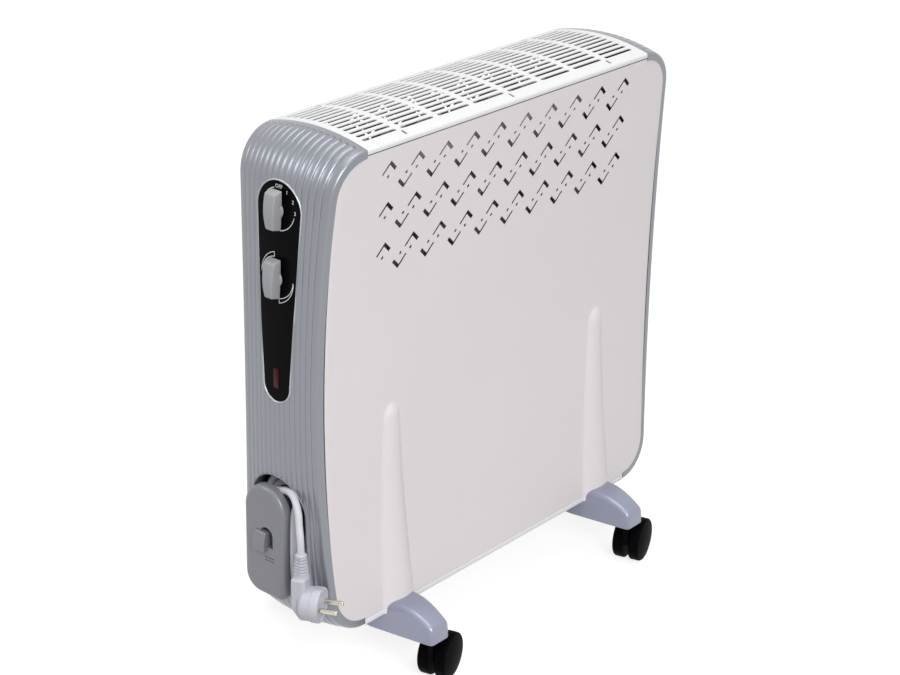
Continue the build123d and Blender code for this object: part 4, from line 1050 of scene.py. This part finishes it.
fasciaSettings = {
    "topRadius": 29.0, "lowRadius": 17.5, "topZ": 524.0, "lowZ": 343.0, "gap": 0.25, "recess": 0.35,
    "rim": 1.0, "thickness": 3.0, "levels": 90, "across": 20, "steps": 28,
}
baySettings = {
    "halfWidth": 37.75, "shift": 3.25, "archZ": 203.25, "bottom": 106.0, "floorX": -252.5, "wall": 2.0,
    "rim": 0.9, "corner": 1.5, "gap": 0.15, "mouth": 0.8, "steps": 36,
}
rimSettings = {"growth": 0.4, "sides": 8, "sink": 0.9, "stretch": 1.7, "shortest": 0.3}
fasciaFall = fasciaSettings["topRadius"] - fasciaSettings["lowRadius"]
fasciaFall /= fasciaSettings["topZ"] - fasciaSettings["lowZ"]


def fasciaOutline(growth):
    f = fasciaSettings
    lean = asin(fasciaFall)
    line = arc(f["topRadius"] + growth, lean, pi - 2 * lean, f["steps"], (0, f["topZ"]))
    return line + arc(f["lowRadius"] + growth, pi - lean, pi + 2 * lean, f["steps"], (0, f["lowZ"]))


def bayOutline(growth):
    b = baySettings
    half = b["halfWidth"] + growth
    low = b["bottom"] - growth
    ease = b["corner"]
    line = arc(half, 0, pi, b["steps"], (0, b["archZ"]))
    line += [(-half, low + ease), (-half + ease, low), (half - ease, low), (half, low + ease)]
    return [(b["shift"] + y, z) for y, z in line]


def makeCap(name, controls):
    c = capSettings
    piece = newPiece(name, capMesh(name), "capSilver")
    for face in piece.data.polygons:
        face.use_smooth = True
    faceTo(piece.data, Vector((-1, 0, 0)))
    count = len(piece.data.vertices)
    solidify(piece, c["wall"])
    settle(piece)
    for label in ("fade", "stop"):  # the inner side of the wall stays plain
        layer = piece.data.attributes[label].data
        for k in range(count, len(layer)):
            layer[k].value = 0.0
    # the sunk flute stops take the painted shade grey
    runTree(piece, fluteTree, {
        "Depth": c["fluteDepth"] / 1000, "Width": c["fluteWidth"], "Ridge": c["ridge"] / 1000,
        "Stop Depth": c["stopDepth"] / 1000, "Material": finishes["capSilver"],
        "Painted Shade Material": finishes["recessShadeGrey"]})
    settle(piece)
    if controls:
        for label, outline in (("fasciaHole", fasciaOutline(0)), ("bayHole", bayOutline(0))):
            cut(piece, prism(label, outline, *c["cutter"], alongX, "capSilver"))
    else:
        piece.data.transform(Matrix.Translation((-frameShift / 1000, 0, 0)))
        piece.data.transform(Matrix.Scale(-1, 4, (1, 0, 0)))
        piece.data.transform(Matrix.Translation((frameShift / 1000, 0, 0)))
    tidyMesh(piece.data, 40)
    return piece


join("casing", "cap_silver", makeCap("controlEndCap", True), "control_end_cap")
join("casing", "cap_silver", makeCap("farEndCap", False), "far_end_cap")


# round rim that follows an opening over the end face
def makeRim(name, outline, radius, finish):
    r = rimSettings
    line = []
    for point in outline:
        if not line or (Vector(point) - Vector(line[-1])).length > r["shortest"]:
            line.append(point)
    count, sides = len(line), r["sides"]
    points = []
    for k, (y, z) in enumerate(line):
        along = (Vector(line[(k + 1) % count]) - Vector(line[k - 1])).normalized()
        x = endFaceX(y, z) + r["sink"]
        for out, wide in circle(radius, sides):
            points.append((x - out * r["stretch"], y + along.y * wide, z - along.x * wide))
    faces = ringFaces(count, sides, False)
    last = (count - 1) * sides
    faces += [(last + j, last + (j + 1) % sides, (j + 1) % sides, j) for j in range(sides)]
    return build(name, points, faces, finish, 60)


bayRim = makeRim("bayRim", bayOutline(rimSettings["growth"]), baySettings["rim"], "winderSilver")
join("casing", "cap_silver", bayRim, "control_end_cap")
fasciaRim = makeRim("fasciaRim", fasciaOutline(rimSettings["growth"]), fasciaSettings["rim"], "rimSilver")
join("casing", "cap_silver", fasciaRim, "control_fascia")


# walls and floor of the cord bay, in painted shade grey
def makeBay():
    b = baySettings
    outline = bayOutline(b["gap"])
    outer = bayOutline(b["wall"])
    count = len(outline)
    mouth = [endFaceX(y, z) + b["mouth"] for y, z in outline]
    points = [(x, y, z) for x, (y, z) in zip(mouth, outline)]
    points += [(b["floorX"], y, z) for y, z in outline]
    points += [(b["floorX"] + b["wall"], y, z) for y, z in outer]
    points += [(x, y, z) for x, (y, z) in zip(mouth, outer)]
    faces = ringFaces(4, count, False)
    faces += [(3 * count + j, 3 * count + (j + 1) % count, (j + 1) % count, j) for j in range(count)]
    faces += [tuple(ring * count + j for j in range(count)) for ring in (1, 2)]
    return build("cordBay", points, faces, "recessShadeGrey", 40)


join("casing", "cap_silver", makeBay(), "control_end_cap")
print("end caps ready")


# gloss plate between the knobs, a little below the rim
def makeFascia():
    f = fasciaSettings
    levels, across = f["levels"], f["across"]
    small = f["lowRadius"] - f["gap"]
    large = f["topRadius"] - f["gap"]
    lowEnd = f["lowZ"] + small * fasciaFall
    highEnd = f["topZ"] + large * fasciaFall
    points = []
    for step in range(levels + 1):
        z = between(f["lowZ"] - small, f["topZ"] + large, 0.5 - 0.5 * cos(pi * step / levels))
        if z < lowEnd:
            half = sqrt(max(0.01, small**2 - (z - f["lowZ"])**2))
        elif z > highEnd:
            half = sqrt(max(0.01, large**2 - (z - f["topZ"])**2))
        else:
            half = between(small, large, (z - lowEnd) / (highEnd - lowEnd)) * sqrt(1 - fasciaFall**2)
        for k in range(across + 1):
            y = -half + 2 * half * k / across
            points.append((endFaceX(y, z) + f["recess"], y, z))
    piece = build("controlFascia", points, gridFaces(levels + 1, across + 1), "fasciaBlack", 60)
    faceTo(piece.data, Vector((-1, 0, 0)))
    solidify(piece, f["thickness"])
    settle(piece)
    tidyMesh(piece.data, 40)
    return piece


join("casing", "fascia_black", makeFascia(), "control_fascia")

legendSettings = {
    "selectorZ": 525.0, "thermostatZ": 456.0, "lift": 0.08, "thickness": 0.12, "markRadius": 21.0,
    "textSize": 5.4, "line": 0.35, "crescent": 4.6, "crescents": ((178, 98), (-2, -82)), "closing": 1.6,
    "offArc": (106, 152), "heatArc": (-12, -84), "heatLine": 0.3, "heatGrowth": 0.2,
    "words": (("OFF", 90, 1.2), ("1", 60, 0.4), ("2", 30, 0.4), ("3", 0, 0.4)),
}


def onDial(y, z):
    return (endFaceX(y, z) + fasciaSettings["recess"] - legendSettings["lift"], y, z)


# user's right is -Y, so an angle of 0 points to -Y and 90 points up
def dialSpot(radius, angle, z):
    return onDial(-radius * cos(radians(angle)), z + radius * sin(radians(angle)))


# bands between two radii, each from one angle to another, seen from the end
def bandMesh(name, z, spans):
    points = []
    faces = []
    for start, end, widthOf in spans:
        steps = max(6, int(abs(end - start) / 4))
        faces += shifted(len(points), gridFaces(steps + 1, 2))
        for k in range(steps + 1):
            points += [dialSpot(radius, between(start, end, k / steps), z) for radius in widthOf(k / steps)]
    return meshFrom(name, points, faces)


def makeMarks():
    g = legendSettings
    r, line, wide = g["markRadius"], g["line"], g["crescent"]
    thin = lambda share: (r - line, r + line)
    heat = lambda share: g["heatLine"] + g["heatGrowth"] * share
    growing = lambda share: (r - heat(share), r + heat(share))
    leaving = lambda share: (r + wide * share - line, r + wide * share + line)
    closing = lambda share: (r, r + wide)
    crescents = []
    for start, end in g["crescents"]:
        crescents += [(start, end, leaving), (start, end, thin), (end + g["closing"], end, closing)]
    arcs = [(*g["offArc"], thin), (*g["heatArc"], growing)]
    return (bandMesh("selectorMarks", g["selectorZ"], arcs),
            bandMesh("thermostatMarks", g["thermostatZ"], crescents))


def thickMarks(mesh, name):
    piece = newPiece(name, mesh, "legendWhite")
    work = bmesh.new()
    work.from_mesh(mesh)
    for face in work.faces:
        if face.normal.x > 0:
            face.normal_flip()
    work.to_mesh(mesh)
    work.free()
    solidify(piece, legendSettings["thickness"])
    return settle(piece)


for mesh, name in zip(makeMarks(), ("selectorMarks", "thermostatMarks")):
    join("casing", "fascia_black", thickMarks(mesh, name), "control_fascia")


# letters and numbers laid on the dial plate
def makeLetters():
    g = legendSettings
    points = []
    faces = []
    for word, angle, lift in g["words"]:
        data = bpy.data.curves.new("letters", "FONT")
        data.body = word
        data.size = g["textSize"] / 1000
        data.align_x = "CENTER"
        data.align_y = "CENTER"
        data.resolution_u = 3
        holder = bpy.data.objects.new("letters", data)
        scene.collection.objects.link(holder)
        view = bpy.context.evaluated_depsgraph_get()
        flat = bpy.data.meshes.new_from_object(holder.evaluated_get(view))
        middleY, middleZ = dialSpot(g["markRadius"] + lift, angle, g["selectorZ"])[1:]
        faces += shifted(len(points), [face.vertices for face in flat.polygons])
        points += [onDial(middleY - v.co.x * 1000, middleZ + v.co.y * 1000) for v in flat.vertices]
        bpy.data.objects.remove(holder)
        bpy.data.meshes.remove(flat)
    return meshFrom("dialLetters", points, faces)


join("casing", "fascia_black", thickMarks(makeLetters(), "dialLetters"), "control_fascia")
join("casing", "lens_red", easedCopy("indicator_lens", "indicatorLens", "lensRed", 0.5), "indicator_lens")

knobSettings = {
    "length": 41.0, "topHalf": 7.0, "lowHalf": 5.0, "topReach": 9.0, "lowReach": 10.4, "bulge": 0.5,
    "swell": 2.4, "draft": 0.8, "end": 2.4, "rows": 15, "bevel": 1.2, "hubRadius": 9.0,
    "hubDepth": 2.4, "gap": 0.6,
}


# bar with a bowed front that narrows towards its lower end, on a round hub
def makeKnob(name, z):
    k = knobSettings
    back = -outlineX(z - k["length"] / 2, -casing["crown"]) - k["gap"]
    points = []
    for row in range(k["rows"]):
        share = row / (k["rows"] - 1)
        side = 2 * share - 1
        half = between(k["lowHalf"], k["topHalf"], share) + k["bulge"] * (1 - side * side)
        front = back - between(k["lowReach"], k["topReach"], share) - k["swell"] * (1 - side * side)
        high = z + side * k["length"] / 2
        frontHigh = z + side * (k["length"] / 2 - k["end"])
        points += [(back, half + k["draft"], high), (front, half, frontHigh), (front, -half, frontHigh),
                   (back, -half - k["draft"], high)]
    bar = build(name, points, ringFaces(k["rows"], 4), "knobGrey", 30)
    bevel(bar, k["bevel"], 4, 32)
    settle(bar)
    tidyMesh(bar.data, 34)
    deep, radius = k["hubDepth"], k["hubRadius"]
    profile = [(0.0, radius), (deep - 0.6, radius), (deep - 0.15, radius - 0.25), (deep, radius - 0.8)]
    disc = revolve(name + "Hub", profile, 48, lambda out, a, b: (back - out, a, z + b), "knobGrey", 50)
    return bar, disc


for body, node, name, height in (("selector", "selector_knob", "selectorKnob", "selectorZ"),
                                 ("thermostat_dial", "thermostat_knob", "thermostatKnob", "thermostatZ")):
    for piece in makeKnob(name, legendSettings[height]):
        join(body, "knob_grey", piece, node)
print("controls ready")

winderSettings = {
    "frontX": -290.5, "backX": -279.5, "shift": 9.5, "half": 28.0, "top": 231.5, "bottom": 108.0,
    "corners": (9.0, 20.0), "round": 6.0, "roundDepth": 4.6,
    "pocketY": 5.5, "pocketHalf": 9.0, "pocketTop": 187.0, "pocketBottom": 165.0, "pocketDepth": 7.0,
    "hookSides": (5.5, 22.0), "hookHeights": (158.5, 181.0), "hookReach": 4.5, "hookLean": 2.2,
    "hookFront": 8.0, "hookBevel": 1.8, "coreRadius": 11.5, "coreHeights": (138.0, 203.0),
    "dotRadius": 1.0, "dotDepths": (-2.0, 1.5), "dots": (4, 2), "dotPitch": 3.4, "dotSpot": (1.5, 152.0),
}


# plate outline with an arched top and rounded lower corners, drawn in by an inset
def winderOutline(inset):
    w = winderSettings
    half = w["half"] - inset
    line = arc(half, 0, pi, 36, (w["shift"], w["top"] - w["half"]))
    for side, start, size in ((-1, pi, w["corners"][0]), (1, 3 * pi / 2, w["corners"][1])):
        corner = max(1.0, size - inset)
        centre = (w["shift"] + side * (half - corner), w["bottom"] + inset + corner)
        line += arc(corner, start, pi / 2, 12, centre)
    return line


def makeWinder():
    w = winderSettings
    rings = [(w["backX"], 0.0)]
    for k in range(9):
        angle = pi / 2 * k / 8
        rings.append((w["frontX"] + w["roundDepth"] * (1 - sin(angle)), w["round"] * (1 - cos(angle))))
    points = [(x, y, z) for x, inset in rings for y, z in winderOutline(inset)]
    plate = build("winderPlate", points, ringFaces(len(rings), len(winderOutline(0))), "winderSilver", 40)
    dotPoints = [(x, y, z) for x in w["dotDepths"] for y, z in circle(w["dotRadius"], 12)]
    dot = makeShape("dot", dotPoints, ringFaces(2, 12), "winderSilver")
    punch(plate, dot, w["dots"], (w["dotPitch"], w["dotPitch"]), (w["frontX"], *w["dotSpot"]), "winderSilver",
          (pi / 2, 0, pi / 2))
    settle(plate)
    bpy.data.objects.remove(dot)
    half, pocketY = w["pocketHalf"], w["pocketY"]
    line = arc(half, 0, pi, 20, (pocketY, w["pocketTop"] - half))
    line += [(pocketY - half, w["pocketBottom"]), (pocketY + half, w["pocketBottom"])]
    deep = w["frontX"] + w["pocketDepth"]
    # the pocket's cut walls take the painted shade grey
    cut(plate, prism("pocket", line, w["frontX"] - 3, deep, alongX, "recessShadeGrey"))
    tidyMesh(plate.data, 35)
    low, high = w["hookHeights"]
    front = w["frontX"] - w["hookReach"]
    section = [(deep, low), (front, low), (front, low + w["hookFront"]), (front + w["hookLean"], high),
               (deep, high)]
    hook = prism("winderHook", section, *w["hookSides"], lambda x, z, y: (x, y, z), "winderSilver", 20)
    bevel(hook, w["hookBevel"], 4, 25)
    settle(hook)
    tidyMesh(hook.data, 34)
    slot = arc(w["coreRadius"], 0, pi, 20, (0, w["coreHeights"][1]))
    slot += [(-y, sum(w["coreHeights"]) - z) for y, z in slot]
    core = prism("winderCore", slot, w["backX"], baySettings["floorX"], alongX, "winderSilver", 40)
    return plate, hook, core


for piece in makeWinder():
    join("casing", "cap_silver", piece, "cord_winder")
join("casing", "rail_paint", easedCopy("base_pan", "basePan", "railPaint", 0.3), "base_pan")

footSettings = {
    "bottom": 52.0, "rootY": 50.0, "tipY": 123.0, "rootHalf": 28.0, "tipHalf": 14.5, "rootTop": 84.5,
    "tipTop": 70.5, "rootDraft": 7.0, "tipDraft": 2.0, "rootRound": 9.0, "tipRound": 5.0, "bow": 7.5,
    "tipEase": 4.0, "flare": 0.95, "bowReach": 1.1, "crest": (0.3, 0.4), "chamfer": 0.8,
    "hiddenDrop": 0.2, "hiddenRound": 2.0, "spots": (-168.0, 168.0),
    "stations": (123.0, 122.7, 121.8, 120.4, 118.5, 112, 104, 95, 85, 75, 65, 57, 50.0),
}


# one ring of the foot: flat underside, sides that lean in, eased top edges
def footRing(x, y, half, high, ease, draft):
    low, chamfer = footSettings["bottom"], footSettings["chamfer"]
    lean = draft / (high - low)
    side = half - draft + lean * ease
    across = ease * (1 + lean)
    ring = [(x - half + chamfer, y, low), (x - half, y, low + chamfer)]
    for step in range(10):
        angle = pi - pi / 2 * step / 9
        ring.append((x - side + across * (1 + cos(angle)), y, high - ease + ease * sin(angle)))
    shoulder, crest = footSettings["crest"]
    ring += [(x - (side - across) / 2, y, high + shoulder), (x, y, high + crest)]
    return ring + [(2 * x - px, py, pz) for px, py, pz in reversed(ring[:-1])]


# the middle, under the casing, is low and plain
def makeFoot(name, x):
    f = footSettings
    rings = []
    for y in f["stations"]:
        share = (f["tipY"] - y) / (f["tipY"] - f["rootY"])
        pull = max(0, f["tipEase"] - (f["tipY"] - y))
        shrink = f["tipEase"] - sqrt(max(0, f["tipEase"]**2 - pull**2))
        half = between(f["tipHalf"], f["rootHalf"], share**f["flare"]) - shrink
        bow = f["bow"] * sin(pi * min(1, share * f["bowReach"]))
        high = between(f["tipTop"], f["rootTop"], share) + bow - shrink
        ease = between(f["tipRound"], f["rootRound"], share)
        if y <= f["rootY"]:
            high = casing["bottom"] - f["hiddenDrop"]
            ease = f["hiddenRound"]
        rings.append((y, half, high, ease, between(f["tipDraft"], f["rootDraft"], share)))
    line = [(-y, *rest) for y, *rest in rings] + rings[::-1]
    points = [point for ring in line for point in footRing(x, *ring)]
    return build(name, points, ringFaces(len(line), len(points) // len(line)), "footSilver", 50)


for name, node, x in zip(("leftFoot", "rightFoot"), ("left_foot", "right_foot"), footSettings["spots"]):
    join("casing", "foot_silver", makeFoot(name, x), node)

for corner in casterNames:
    label = corner.split("_")[0] + corner.split("_")[1].title()
    node = corner + "_caster_frame"
    join(corner + "_swivel", "caster_black", easedCopy(node, label + "CasterFrame", "casterBlack", 0.5), node)
    for word in ("outer", "inner"):
        node = corner + "_" + word + "_wheel"
        wheel = easedCopy(node, label + word.title() + "Wheel", "casterBlack", 0)
        join(corner + "_" + word + "_roller", "caster_black", wheel, node)
print("feet and casters ready")
